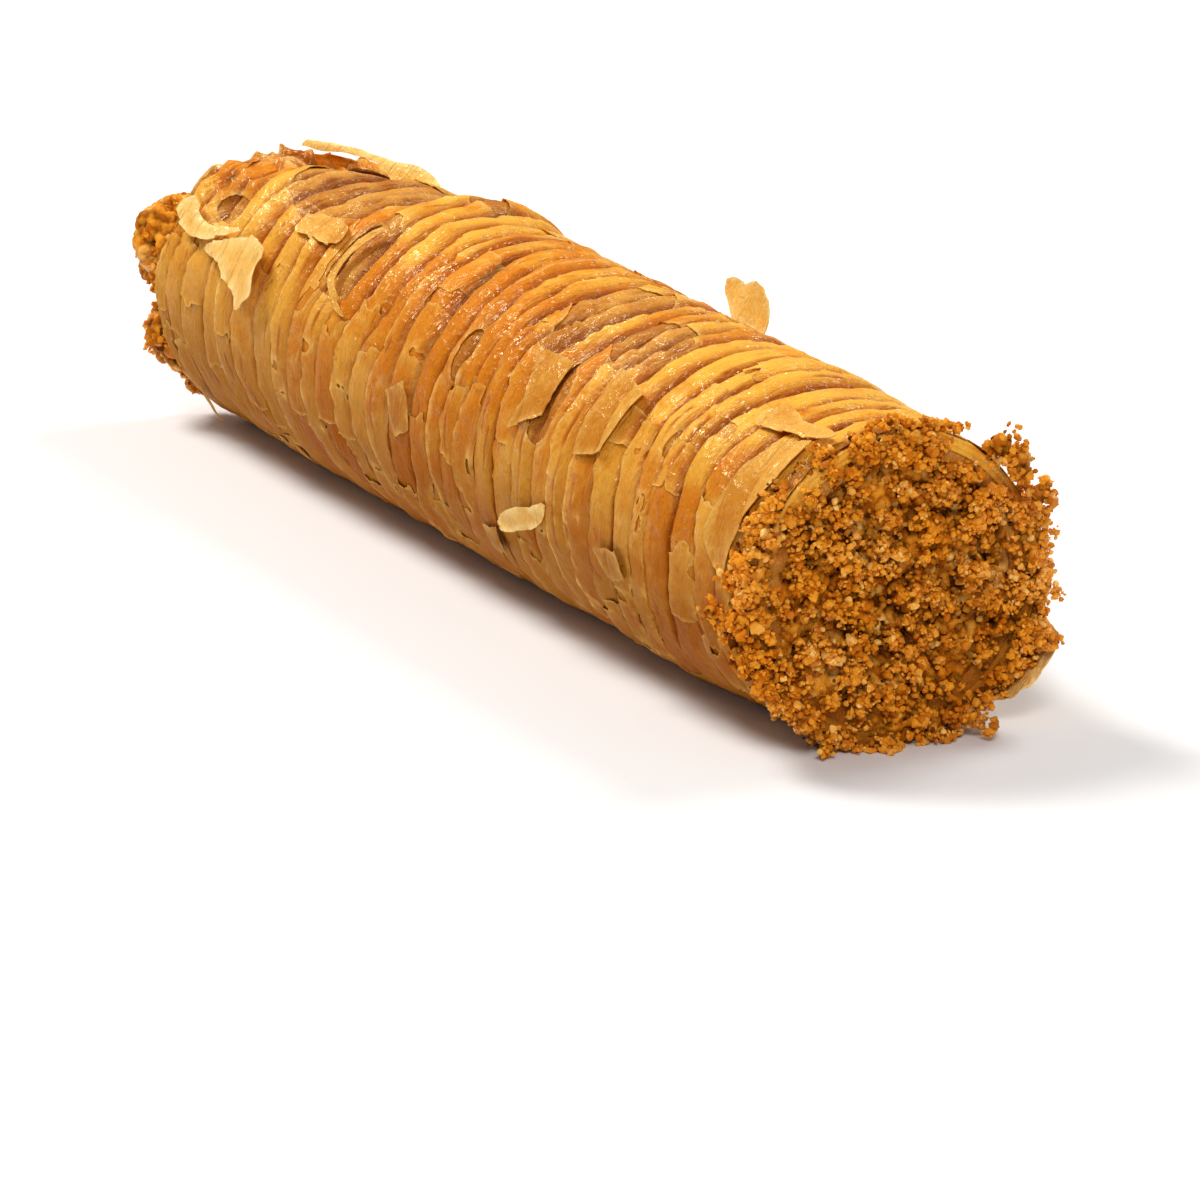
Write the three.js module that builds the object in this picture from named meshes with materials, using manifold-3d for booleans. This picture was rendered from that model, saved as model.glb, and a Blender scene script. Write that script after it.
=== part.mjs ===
// A baklava roll: a tube of pleated filo pastry round a core of filling, with both ends pressed into crumbs.
// Millimetres, +Z up. The roll lies along X on a flat strip of its underside. The origin is under its middle,
// +X is the end whose whole face is crumbs, and -Y is the side with the large loose flakes.
// Angles run round the roll from its top (0) through the -Y side (90) to its underside (180), in degrees.

import * as THREE from "three";
import { mergeVertices } from "three/addons/utils/BufferGeometryUtils.js";
import Module from "manifold-3d";

// Driving sizes of the pastry tube.
const ROLL_RADIUS = 16;
const ROLL_LENGTH = 129;
const WALL = 4;
const PLEAT_COUNT = 33;
const PLEAT_DEPTH = 1.15;
const PRESSED_FLAT = 0.9; // how far the underside is squashed onto what it rests on
const WAVINESS = 0.25; // how far the roll is from truly round
const NEAR_TAPER = 0.75; // how much thinner its near end is

// The rings of one pleat, as shares of its width, its depth and the pitch: the groove, the lip that leans back
// over it, and the shoulder that falls to the next groove.
const PLEAT_RINGS = [
  { share: 0, cut: 1, lean: 0 },
  { share: 0.13, cut: 0, lean: -0.2 },
  { share: 0.58, cut: 0.22, lean: -0.05 },
];

// Driving sizes of the crumbed ends. A heap is how far crumbs stand off the end of the tube.
const FITTING_GAP = 0.3;
const NEAR_HEAP = 2;
const FAR_HEAP = 6.5;
const CUFF_WIDTH = 4.4; // how far the near crumbs reach back along the outside
const CUFF_LEAST = 0.7;
const CUFF_THICKNESS = 1;
const FAR_INSET = 1.1; // how much narrower the far crumbs are than the roll
const CRUMB_SIZE = 1.5;
const CRUMB_RELIEF = 0.9; // how much single crumbs stand off the rest

// Driving sizes of the flakes.
const FLAKE_THICKNESS = 0.6;
const FLAKE_ROOT = 0.9; // how deep a flake's fixed end is buried, so that it grows out of the pastry

// Places worked out from those sizes.
const OVERALL_LENGTH = ROLL_LENGTH + NEAR_HEAP + FAR_HEAP;
const FAR_RIM = FAR_HEAP - OVERALL_LENGTH / 2;
const NEAR_RIM = FAR_RIM + ROLL_LENGTH;
const AXIS_HEIGHT = ROLL_RADIUS - PRESSED_FLAT;
const BORE_RADIUS = ROLL_RADIUS - WALL;
const CORE_RADIUS = BORE_RADIUS - FITTING_GAP;
const PITCH = ROLL_LENGTH / PLEAT_COUNT;

// How finely the surfaces are divided.
const PASTRY_SIDES = 42;
const CRUMB_SIDES = 52;
const CRUMB_STEP = 1.3;

// Where the outer sheets have torn away (a negative rise) or stand up in a ruck (a positive one).
const UNEVEN = [
  { x: -37, angle: -8, length: 11, spread: 42, rise: -1.5 },
  { x: -23, angle: 44, length: 4.5, spread: 22, rise: -0.8 },
  { x: 22, angle: 20, length: 7, spread: 24, rise: -0.5 },
  { x: 25, angle: 55, length: 3.5, spread: 16, rise: -0.5 },
  { x: -26, angle: -30, length: 6, spread: 30, rise: 1.3 },
  { x: -58, angle: 8, length: 9, spread: 50, rise: -1.2 },
];

// The clods of crumbs that stand out at the far end. `across` is towards -Y and `up` towards +Z, from the axis.
const FAR_CLODS = [
  { across: 10.5, up: 7, size: 6 },
  { across: 9, up: -6.5, size: 4.5 },
  { across: -8, up: 6, size: 5 },
  { across: -5, up: -9, size: 5 },
];

// Where round the near end the cuff is wide.
const CUFF_PATCHES = [
  { angle: 88, spread: 44, share: 1 },
  { angle: -112, spread: 62, share: 0.7 },
];

const clamp01 = (value) => Math.min(1, Math.max(0, value));
const radians = THREE.MathUtils.degToRad;

/** A smooth step from 0 at `from` to 1 at `to`, whichever is larger. */
function ease(from, to, value) {
  const t = clamp01((value - from) / (to - from));
  return t * t * (3 - 2 * t);
}

/** A repeatable scattered number from 0 to 1 for a whole number. */
function scatter(n) {
  const s = Math.sin(n * 12.9898 + 4.1414) * 43758.5453;
  return s - Math.floor(s);
}

/** Smooth repeatable noise from -1 to 1 at a point in space, with bumps about one unit across. */
function noise(x, y, z) {
  const cell = [x, y, z].map(Math.floor);
  const share = [x, y, z].map((value, k) => ease(0, 1, value - cell[k]));
  let sum = 0;
  for (let corner = 0; corner < 8; corner++) {
    const step = [corner & 1, (corner >> 1) & 1, (corner >> 2) & 1];
    const key = (cell[0] + step[0]) * 157 + (cell[1] + step[1]) * 331 + (cell[2] + step[2]) * 733;
    const weight = step.reduce((w, on, k) => w * (on ? share[k] : 1 - share[k]), 1);
    sum += weight * scatter(key);
  }
  return 2 * sum - 1;
}

/** The signed turn in degrees from one angle to another, the short way round. */
function turn(from, to) {
  return ((((to - from + 180) % 360) + 360) % 360) - 180;
}

/** How much a smooth mound centred at a place reaches a point of the surface, from 0 to 1. */
function mound({ x, angle, length, spread }, atX, atAngle) {
  const away = Math.hypot((atX - x) / length, turn(angle, atAngle) / spread);
  return 1 - ease(0.55, 1.25, away);
}

/** The radius of the pastry's crests, before the pleats are cut into it. */
function crestRadius(x, angle) {
  const taper = NEAR_TAPER * ease(NEAR_RIM - 22, NEAR_RIM - 9, x);
  const [across, up] = [Math.sin(radians(angle)), Math.cos(radians(angle))];
  const waves = WAVINESS * noise(x / 14, up * 1.4, across * 1.4 + 9);
  const rises = UNEVEN.reduce((sum, place) => sum + place.rise * mound(place, x, angle), 0);
  return ROLL_RADIUS - taper + waves + rises;
}

/** A point at a place along and round the roll, pressed flat where it would go below a lowest height. */
function onRoll(x, angle, radius, lowest = 0) {
  const turned = radians(angle);
  const y = -radius * Math.sin(turned);
  const z = AXIS_HEIGHT + radius * Math.cos(turned);
  return new THREE.Vector3(x, y, Math.max(lowest, z));
}

/** The height of the pastry's flat underside: the base itself, but raised where the cuff lies under it. */
function underside(x) {
  return CUFF_THICKNESS * ease(NEAR_RIM - 9.5, NEAR_RIM - 6.5, x);
}

/**
 * A closed surface with one ring for each station of a profile. A lathe gives its faces, and
 * `place(station, angle)` its points. The profile runs so that the solid is inside it as X grows.
 */
function ringedSurface(stations, sides, place) {
  const outline = stations.map((_, ring) => new THREE.Vector2(1, ring));
  const lathe = new THREE.LatheGeometry(outline, sides);
  const position = lathe.getAttribute("position");
  for (let side = 0; side <= sides; side++) {
    const angle = ((side % sides) * 360) / sides;
    stations.forEach((station, k) => {
      const { x, y, z } = place(station, angle);
      position.setXYZ(side * stations.length + k, x, y, z);
    });
  }
  return lathe;
}

const wasm = await Module();
wasm.setup();

/** A closed geometry as a manifold-3d solid. */
function toSolid(geometry) {
  const bare = geometry.clone();
  bare.deleteAttribute("normal");
  bare.deleteAttribute("uv");
  const merged = mergeVertices(bare, 1e-4);
  const vertProperties = new Float32Array(merged.getAttribute("position").array);
  const triVerts = new Uint32Array(merged.index.array);
  return new wasm.Manifold(new wasm.Mesh({ numProp: 3, vertProperties, triVerts }));
}

/** A manifold-3d solid as a geometry. */
function toGeometry(solid) {
  const { vertProperties, triVerts } = solid.getMesh();
  const geometry = new THREE.BufferGeometry();
  geometry.setAttribute("position", new THREE.BufferAttribute(vertProperties, 3));
  geometry.setIndex(new THREE.BufferAttribute(triVerts, 1));
  geometry.computeVertexNormals();
  return geometry;
}

/** The places along X of the grooves between pleats, unevenly spaced from rim to rim. */
function grooves() {
  const widths = Array.from({ length: PLEAT_COUNT }, (_, k) => 1 + 0.5 * (scatter(k) - 0.5));
  const total = widths.reduce((sum, width) => sum + width, 0);
  let x = FAR_RIM;
  return widths.map((width) => {
    const start = x;
    x += (width / total) * ROLL_LENGTH;
    return { start, width: x - start };
  });
}

/** A point of a pleat's ring. The pleats wander along X, and fade out on the pressed underside. */
function pleatPoint({ x, pleat, depth, lean }, angle) {
  const pressed = ease(12, 34, Math.abs(turn(180, angle)));
  const strength = pressed * (0.8 + 0.45 * noise(pleat * 0.7, angle / 40, 3));
  const wander = 0.14 * PITCH * Math.sin(radians(2 * angle + 140 * scatter(pleat + 7)));
  const farMost = FAR_RIM + 0.15 + (x - FAR_RIM) / 9;
  const isRim = x === FAR_RIM || x === NEAR_RIM;
  const moved = isRim ? x : Math.max(x + lean * PITCH * strength + wander, farMost);
  return onRoll(moved, angle, crestRadius(x, angle) - depth * strength, underside(moved));
}

/** The pleated tube, whose pleats lie like shingles. */
function pastryTube() {
  const stations = [{ bore: true, x: FAR_RIM }];
  grooves().forEach(({ start, width }, pleat) => {
    const depth = PLEAT_DEPTH * (0.75 + 0.5 * scatter(pleat + 40));
    for (const { share, cut, lean } of PLEAT_RINGS) {
      stations.push({ x: start + share * width, pleat, depth: cut * depth, lean });
    }
  });
  stations.push({ x: NEAR_RIM, pleat: PLEAT_COUNT, depth: PLEAT_DEPTH, lean: 0 });
  stations.push({ bore: true, x: NEAR_RIM });
  stations.push(stations[0]);
  const place = (station, angle) =>
    station.bore ? onRoll(station.x, angle, BORE_RADIUS) : pleatPoint(station, angle);
  return toSolid(ringedSurface(stations, PASTRY_SIDES, place));
}

/**
 * A loose flake of pastry: a thin slab bent round the roll, fixed along one end or both and lifted in between.
 * `x`, `angle`: its middle. `length`: size along X. `spread`: degrees round the roll. `lift`: how far it stands
 * off. `fixed`: "far", "near" or "low" for the edge that stays down, or "ends" for a strap held at both.
 */
function flake({ x, angle, length, spread, lift, fixed, twist = 0 }) {
  const [alongSteps, roundSteps] = [6, 4];
  const slab = new THREE.BoxGeometry(1, 1, 1, alongSteps, roundSteps, 1);
  const position = slab.getAttribute("position");
  for (let i = 0; i < position.count; i++) {
    const [u, v, w] = [position.getX(i), position.getY(i), position.getZ(i)];
    const free = { far: u + 0.5, near: 0.5 - u, low: 0.5 + v, ends: 1 - Math.abs(2 * u) ** 2 }[fixed];
    const rise = lift * free ** 1.3 - FLAKE_ROOT * (1 - free) ** 3;
    const narrow = 1 - 0.45 * Math.abs(2 * u) ** 3;
    const atX = x + u * length;
    const atAngle = angle - v * spread * narrow + twist * u;
    const base = crestRadius(atX, atAngle) + rise;
    const point = onRoll(atX, atAngle, base + (w + 0.5) * FLAKE_THICKNESS);
    position.setXYZ(i, point.x, point.y, point.z);
  }
  return toSolid(slab);
}

/** The loose flakes that stand off the roll. The last two are on the side away from the shown one. */
const FLAKES = [
  { x: -38, angle: -27, length: 22, spread: 14, lift: 1.6, fixed: "ends", twist: 6 },
  { x: -44, angle: 68, length: 10, spread: 26, lift: 1.6, fixed: "far", twist: 8 },
  { x: -53, angle: 52, length: 9, spread: 18, lift: 1.3, fixed: "near", twist: -6 },
  { x: 21.5, angle: -39, length: 5.5, spread: 17, lift: 4.2, fixed: "low" },
  { x: 59, angle: 22, length: 11, spread: 12, lift: 1, fixed: "far", twist: -8 },
  { x: 26, angle: 92, length: 5, spread: 13, lift: 1.1, fixed: "near" },
  { x: -1, angle: 80, length: 3.6, spread: 24, lift: 0.8, fixed: "near" },
  { x: 36, angle: -84, length: 9, spread: 26, lift: 1.7, fixed: "far", twist: 10 },
  { x: -14, angle: -96, length: 8, spread: 18, lift: 1.4, fixed: "near", twist: -6 },
];

/** The pastry with its loose flakes grown on. */
function pastryGeometry() {
  const solid = FLAKES.reduce((sum, one) => sum.add(flake(one)), pastryTube());
  return toGeometry(solid);
}

/** The width of the crumbed cuff on the outside of the near end: almost none on top, wide where crumbs stuck. */
function cuffWidth(angle) {
  const patches = CUFF_PATCHES.map((patch) => {
    const away = Math.abs(turn(patch.angle, angle)) / patch.spread;
    return patch.share * (1 - ease(0.2, 1.1, away));
  });
  const ragged = 1 + 0.2 * noise(angle / 9, 5, 2);
  return CUFF_LEAST + (CUFF_WIDTH - CUFF_LEAST) * Math.max(...patches) * ragged;
}

/** How full the heap on the near end is at a distance from the axis, from 0 to 1: gently lumpy. */
function nearFullness(across, up) {
  return 0.62 + 0.38 * noise(across / 4.5 + 3, up / 4.5, 1.5);
}

/** The same on the far end, where the crumbs stand out in a few large clods. */
function farFullness(across, up) {
  const clods = FAR_CLODS.map((clod) => {
    const away = Math.hypot(across - clod.across, up - clod.up) / clod.size;
    return 1 - ease(0.3, 1.2, away);
  });
  return 0.38 + 0.16 * noise(across / 5, up / 5 + 7, 4.2) + 0.46 * Math.max(...clods);
}

/** The rough of single crumbs at a point of their surface, from -1 to 1. */
function grit({ x, y, z }) {
  return noise(x / CRUMB_SIZE, y / CRUMB_SIZE, z / CRUMB_SIZE);
}

/** A point of an end's crumbs. `out` is 1 at the near end and -1 at the far one. */
function heapPoint({ radius, edgeRadius, heap, fullness, rim, out }, angle) {
  const [across, up] = [radius * Math.sin(radians(angle)), radius * Math.cos(radians(angle))];
  const rounded = 1 - 0.7 * ease(edgeRadius - 3.5, edgeRadius, radius);
  const rough = 0.5 + 0.5 * grit({ x: rim, y: across, z: up });
  const least = FITTING_GAP + 0.3;
  const stands = least + (heap - least - CRUMB_RELIEF) * clamp01(fullness(across, up)) * rounded;
  return onRoll(rim + out * (stands + CRUMB_RELIEF * rough), angle, radius);
}

/** A point of the crumbed cuff, at a share of its width back from the near rim. */
function cuffPoint(coatRadius, back, angle) {
  const x = NEAR_RIM - back * cuffWidth(angle);
  const rough = 0.5 * CRUMB_RELIEF * grit(onRoll(x, angle, coatRadius));
  const thinned = back ** 4;
  return onRoll(x, angle, coatRadius + rough * (1 - thinned) - 0.25 * thinned);
}

/**
 * The filling, which runs through the tube and carries the crumbs stuck to both its ends. One closed outline,
 * from the middle of the far face, back through the tube, out under the cuff and over it to the near face.
 */
function crumbedFillingGeometry() {
  const coatRadius = ROLL_RADIUS - NEAR_TAPER + CUFF_THICKNESS;
  const shelfRadius = ROLL_RADIUS - NEAR_TAPER + WAVINESS + FITTING_GAP / 2;
  const farRadius = ROLL_RADIUS - FAR_INSET;
  const nearEnd = { edgeRadius: coatRadius, heap: NEAR_HEAP, fullness: nearFullness, rim: NEAR_RIM, out: 1 };
  const farEnd = { edgeRadius: farRadius, heap: FAR_HEAP, fullness: farFullness, rim: FAR_RIM, out: -1 };
  const face = (end) => {
    const rings = Math.round(end.edgeRadius / CRUMB_STEP);
    const radii = Array.from({ length: rings + 1 }, (_, k) => (k / rings) * end.edgeRadius);
    return radii.map((radius) => (angle) => heapPoint({ radius, ...end }, angle));
  };
  const core = (x, radius) => (angle) => onRoll(x, angle, radius);
  const shelf = (reach) => (angle) =>
    onRoll(NEAR_RIM - reach(angle), angle, shelfRadius, CUFF_THICKNESS - FITTING_GAP);
  const cuff = [1, 0.65, 0.3].map((back) => (angle) => cuffPoint(coatRadius, back, angle));
  const stations = [
    ...face(farEnd),
    core(FAR_RIM - FITTING_GAP, farRadius),
    core(FAR_RIM - FITTING_GAP, CORE_RADIUS),
    core(NEAR_RIM + FITTING_GAP, CORE_RADIUS),
    shelf(() => -FITTING_GAP),
    shelf(cuffWidth),
    ...cuff,
    ...face(nearEnd).reverse(),
  ];
  return ringedSurface(stations, CRUMB_SIDES, (station, angle) => station(angle));
}

/** A named mesh of one solid, in its own colour and finish. */
function piece(name, geometry, color, roughness) {
  const material = new THREE.MeshStandardMaterial({ color, roughness, metalness: 0, flatShading: true });
  const mesh = new THREE.Mesh(geometry, material);
  mesh.name = name;
  return mesh;
}

const roll = new THREE.Group();
roll.add(piece("pastry", pastryGeometry(), "#dd9a40", 0.45));
roll.add(piece("crumbed_filling", crumbedFillingGeometry(), "#a35f18", 0.8));

export default roll;
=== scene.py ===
"""A baklava roll: pleated filo pastry with torn outer sheets, loose flakes and both ends in crumbs.

Lengths are millimetres until a mesh is made, when they become Blender's metres. A place on the roll is x,
along it, and an angle in degrees: 0 on top, 90 on the -Y side, 180 underneath. The whole number that a
noise or a scatter ends with only tells it from the others.
"""

import logging
import math
from collections.abc import Callable, Sequence
from dataclasses import dataclass
from enum import Enum

import bmesh
import bpy
import numpy as np
from mathutils import Matrix, Vector

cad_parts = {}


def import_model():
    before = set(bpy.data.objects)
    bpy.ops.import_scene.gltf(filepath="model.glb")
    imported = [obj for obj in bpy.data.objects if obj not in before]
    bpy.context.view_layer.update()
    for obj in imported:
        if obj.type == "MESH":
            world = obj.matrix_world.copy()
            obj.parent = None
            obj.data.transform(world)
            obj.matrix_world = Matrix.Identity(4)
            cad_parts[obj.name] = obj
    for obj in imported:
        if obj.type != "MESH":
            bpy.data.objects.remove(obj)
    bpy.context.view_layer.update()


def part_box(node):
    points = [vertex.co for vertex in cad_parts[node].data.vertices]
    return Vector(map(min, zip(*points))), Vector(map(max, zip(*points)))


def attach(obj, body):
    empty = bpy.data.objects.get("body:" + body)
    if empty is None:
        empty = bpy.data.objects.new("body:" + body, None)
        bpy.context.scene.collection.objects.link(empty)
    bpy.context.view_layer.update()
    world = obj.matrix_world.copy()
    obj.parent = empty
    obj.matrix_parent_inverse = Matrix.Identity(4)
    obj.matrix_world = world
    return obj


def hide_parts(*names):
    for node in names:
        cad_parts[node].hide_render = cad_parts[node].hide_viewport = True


Array = np.ndarray
Cover = Callable[[Array, Array], Array]
Lift = Callable[[Array, Array, Array], Array]

MM = 0.001
WORD = 0xFFFFFFFF
SEED_START, SEED_STEP = 0x7F4A7C15, 0x9E3779B1
OCTAVE_SHIFT = 17.3
FIRST_STIR, SECOND_STIR = 0x2C1B3C6D, 0x297A2D39

log = logging.getLogger("baklava_roll")


# ---- Numbers that vary from place to place ----


def hashed(*parts: Array, seed: int = 0) -> Array:
    """Gives scattered but repeatable numbers.

    Args:
        parts: Arrays of whole numbers, of one shape.
        seed: Picks one of many such scatters.

    Returns:
        An array of that shape, with numbers from 0 to 1.
    """
    mixed = np.full(np.shape(parts[0]), (seed * SEED_STEP + SEED_START) & WORD, np.uint64)
    for part in parts:
        mixed = (mixed ^ (np.asarray(part).astype(np.int64).astype(np.uint64) & WORD)) & WORD
        mixed = (mixed * FIRST_STIR) & WORD
        mixed = ((mixed ^ (mixed >> 15)) * SECOND_STIR) & WORD
        mixed = mixed ^ (mixed >> 13)
    return mixed.astype(float) / WORD


def smooth(low: float, high: float, value: Array) -> Array:
    """Steps smoothly from 0 at `low` to 1 at `high`, whichever is larger."""
    share = np.clip((value - low) / (high - low), 0, 1)
    return share * share * (3 - 2 * share)


def noise(points: Array, seed: int, octaves: int = 1) -> Array:
    """Gives smooth noise.

    Args:
        points: Points as rows of three numbers, in units of one bump.
        seed: Picks one of many such noises.
        octaves: How many ever finer noises are added.

    Returns:
        One number from -1 to 1 for each point.
    """
    total = np.zeros(len(points))
    weights = [0.5**octave for octave in range(octaves)]
    for octave, weight in enumerate(weights):
        scaled = points * 2**octave + OCTAVE_SHIFT * octave
        cell = np.floor(scaled)
        share = scaled - cell
        share = share * share * share * (share * (share * 6 - 15) + 10)
        value = np.zeros(len(points))
        for corner in range(8):
            step = np.array([corner & 1, corner >> 1 & 1, corner >> 2 & 1])
            part = np.prod(np.where(step, share, 1 - share), axis=1)
            value += part * hashed(*(cell + step).T, seed=seed + 31 * octave)
        total += weight * (2 * value - 1)
    return total / sum(weights)


def grains(points: Array, seed: int) -> tuple[Array, Array]:
    """Gives the look of closely packed round grains.

    Args:
        points: Points as rows of three numbers, in units of one grain.
        seed: Picks one of many such packings.

    Returns:
        How high each place is, from 0 between the grains to 1 on top of one, and a number from 0 to 1 that
        belongs to the grain.
    """
    cell = np.floor(points)
    nearest = np.full(len(points), 9.0)
    own = np.zeros(len(points))
    for step in np.ndindex(3, 3, 3):
        corner = cell + step - 1
        middle = corner + table(*(hashed(*corner.T, seed=seed + k) for k in range(3)))
        away = np.sum((points - middle) ** 2, axis=1)
        own = np.where(away < nearest, hashed(*corner.T, seed=seed + 3), own)
        nearest = np.minimum(nearest, away)
    return np.sqrt(np.clip(1 - 1.5 * nearest, 0, 1)), own


def turn(start: float, end: Array) -> Array:
    """Gives the signed turn in degrees from one angle to others, the short way round."""
    return (end - start + 180) % 360 - 180


def table(*columns: Array) -> Array:
    """Puts arrays side by side, as the columns of a table."""
    return np.stack(columns, axis=1)


def grid(slow: Array, fast: Array) -> tuple[Array, Array]:
    """Gives both numbers at each point of a grid, of which the second changes fastest."""
    first, second = np.meshgrid(slow, fast, indexing="ij")
    return first.ravel(), second.ravel()


def full_turn(count: int) -> Array:
    """Gives evenly spaced angles round the roll."""
    return np.arange(count) * 360 / count


def across_up(radius: Array | float, angle: Array) -> tuple[Array, Array]:
    """Gives how far towards -Y and how far up a place is, from its distance from the axis and its angle."""
    turned = np.radians(angle)
    return radius * np.sin(turned), radius * np.cos(turned)


def rim_noise(angle: Array, width: float, at: tuple[float, float], seed: int, octaves: int = 1) -> Array:
    """Gives noise round a rim, with bumps that are `width` degrees wide."""
    return noise(table(angle / width, angle * 0 + at[0], angle * 0 + at[1]), seed, octaves)


# ---- The form of the roll ----


@dataclass(frozen=True)
class Mound:
    """A place where the roll swells or, with a negative rise, sinks."""

    x: float
    angle: float
    length: float
    spread: float
    rise: float = 0.0

    def reach(self, x: Array, angle: Array) -> Array:
        """Gives how much of the mound is at each place, from 0 to 1."""
        away = np.hypot((x - self.x) / self.length, turn(self.angle, angle) / self.spread)
        return 1 - smooth(0.55, 1.25, away)


UNEVEN = (
    Mound(-37, -8, 11, 42, -1.3),
    Mound(-24, 42, 4.5, 24, -0.6),
    Mound(20, 20, 7, 26, -0.35),
    Mound(-25, -26, 7, 24, 0.8),
    Mound(-58, -6, 11, 38, -1.6),
    Mound(-53, -30, 8.5, 40, -2.7),
    Mound(-53, 47, 3.6, 10, -0.9),
)
CRUMPLED = Mound(-60, 7, 8.8, 45)
TONES = (
    Mound(4, 54, 27, 34, -0.8),
    Mound(54, 0, 24, 44, 0.6),
    Mound(-18, -8, 15, 34, 0.3),
    Mound(-54, 98, 20, 60, 0.4),
)


@dataclass(frozen=True)
class Pleats:
    """What the pleats are like at each of many places.

    Attributes:
        number: Which pleat it is.
        share: How far across that pleat it is, from its groove at 0 to the next groove at 1.
        drop: How far below the crests it is.
        lean: How far it leans towards -X.
        groove: How much it looks like the bottom of a groove, from 0 to 1.
        lip: How much it looks like the lip of a fold.
    """

    number: Array
    share: Array
    drop: Array
    lean: Array
    groove: Array
    lip: Array


@dataclass(frozen=True)
class RollForm:
    """The pleated roll's own form, which every sheet of pastry follows.

    Attributes:
        far_rim: Where the pastry ends at -X.
        near_rim: Where it ends at +X.
        radius: The crests' distance from the axis.
        pressed: How far its underside is pressed flat.
        waviness: How uneven its outside is.
        near_taper: How much thinner it is at its near end.
        pleat_count: How many pleats there are.
        pleat_depth: How deep a usual one is.
        lip_lean: How far a pleat's lip leans over the groove before it.
        sheets_below: How far below the outside the innermost sheet lies.
    """

    far_rim: float
    near_rim: float
    radius: float = 16.0
    pressed: float = 0.9
    waviness: float = 0.25
    near_taper: float = 0.75
    pleat_count: int = 33
    pleat_depth: float = 1.35
    lip_lean: float = 0.8
    sheets_below: float = 0.2

    @property
    def axis_height(self) -> float:
        """How high the roll's axis is."""
        return self.radius - self.pressed

    @property
    def pitch(self) -> float:
        """The mean width of a pleat."""
        return (self.near_rim - self.far_rim) / self.pleat_count

    def noise(
        self, x: Array, angle: Array, along: float, around: float, seed: int, octaves: int = 1
    ) -> Array:
        """Gives noise from -1 to 1 on the roll's surface, with bumps of `along` by `around` millimetres."""
        return noise(table(x / along, *across_up(self.radius / around, angle)), seed, octaves)

    def pleats(self, x: Array, angle: Array) -> Pleats:
        """Works out the pleats at many places."""
        wander = 1.9 * self.noise(x, angle, 30, 17, 11) + 1.7 * self.noise(x, angle, 7, 11, 12)
        ragged = 0.3 * self.noise(x, angle, 3, 2.4, 13, 3)
        phase = (x - self.far_rim + wander + ragged) / self.pitch
        number = np.floor(phase)
        share = phase - number
        own = hashed(number, seed=5)
        along = noise(table(number * 7.7, angle / 26, own), 14)
        topness = 1 - smooth(30, 85, np.abs(angle))
        calm = 1 - 0.45 * smooth(self.near_rim - 20, self.near_rim - 8, x)
        calm = calm * smooth(10, 32, np.abs(turn(180, angle))) * (1 - 0.8 * CRUMPLED.reach(x, angle))
        depth = self.pleat_depth * (0.6 + 0.55 * own) * (0.85 + 0.4 * along) * calm * (0.8 + 0.4 * topness)

        falls = 0.82 - 0.26 * topness
        fallen = np.clip((share - falls) / (0.99 - falls), 0, 1)
        flat = hashed(number, seed=9)
        slope = 1 - (0.3 + 0.4 * topness) * (0.4 + flat) * share
        crest = smooth(0, 0.2 - 0.13 * flat, share) * slope * (1 - fallen * fallen * (3 - 2 * fallen))
        from_lip = (share - 0.1 + 0.5) % 1 - 0.5
        strength = np.clip(1.15 * (np.clip(depth, 0, None) / self.pleat_depth) ** 0.5, 0, 1.2)
        groove = (1 - crest) * strength
        lip = np.exp(-((from_lip / 0.06) ** 2)) * strength * (0.5 + 0.5 * flat)
        drop = depth * (1 - crest)
        for seed, middle in ((6, 0.36), (16, 0.62)):
            wavering = noise(table(number * 5.1, angle / 14, own + seed), seed, 2)
            fold_at = middle + 0.14 * (hashed(number, seed=seed) - 0.5) + 0.1 * wavering
            there = np.clip(1.6 * hashed(number, seed=seed + 1) - 0.95 + 1.5 * wavering, 0, 1) * calm
            past = share - fold_at
            drop = drop - 0.3 * there * smooth(-0.02, 0.04, past) * np.exp(-np.clip(past, 0, 1) / 0.16)
            groove = np.maximum(groove, 0.75 * there * np.exp(-(((past + 0.05) / 0.045) ** 2)))
            lip = np.maximum(lip, 0.85 * there * np.exp(-(((past - 0.04) / 0.04) ** 2)))

        ends = smooth(0, 1.5, x - self.far_rim) * smooth(0, 1.5, self.near_rim - x)
        lean = self.lip_lean * (0.45 + 0.8 * own) * calm * ends * np.exp(-((from_lip / 0.14) ** 2))
        return Pleats(number, share, drop, lean, np.clip(groove, 0, 1), np.clip(lip, 0, 1))

    def creases(self, x: Array, angle: Array) -> Array:
        """Gives the height of the fine creases, most of which run round the roll."""
        drawn_out, even = (np.abs(self.noise(x, angle, *kind)) for kind in ((1.8, 7, 21), (3, 3, 27, 2)))
        folded = 0.14 - 0.4 * drawn_out - 0.2 * even
        return folded + 0.12 * self.noise(x, angle, 2.6, 2.6, 22, 2) + self.crumple(x, angle)

    def crumple(self, x: Array, angle: Array) -> Array:
        """Gives the height of the crumpled far end's lumps."""
        rough = 1 - np.abs(self.noise(x, angle, 3.4, 3.4, 23, 2))
        grainy = 0.65 * self.noise(x, angle, 1.4, 1.4, 25)
        return CRUMPLED.reach(x, angle) * (2.0 * (rough - 0.8) + grainy)

    def far_inset(self, angle: Array) -> Array:
        """Gives how far the torn far edge lies in from the rim at each angle."""
        torn = 2.6 * (1 - smooth(0.35, 1.15, np.abs(turn(-2, angle)) / 38))
        wavy = rim_noise(angle, 7, (3, 8), 26, 2)
        return np.maximum(torn * (1 + 0.35 * wavy) + 0.35 * wavy, 0.0)

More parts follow.
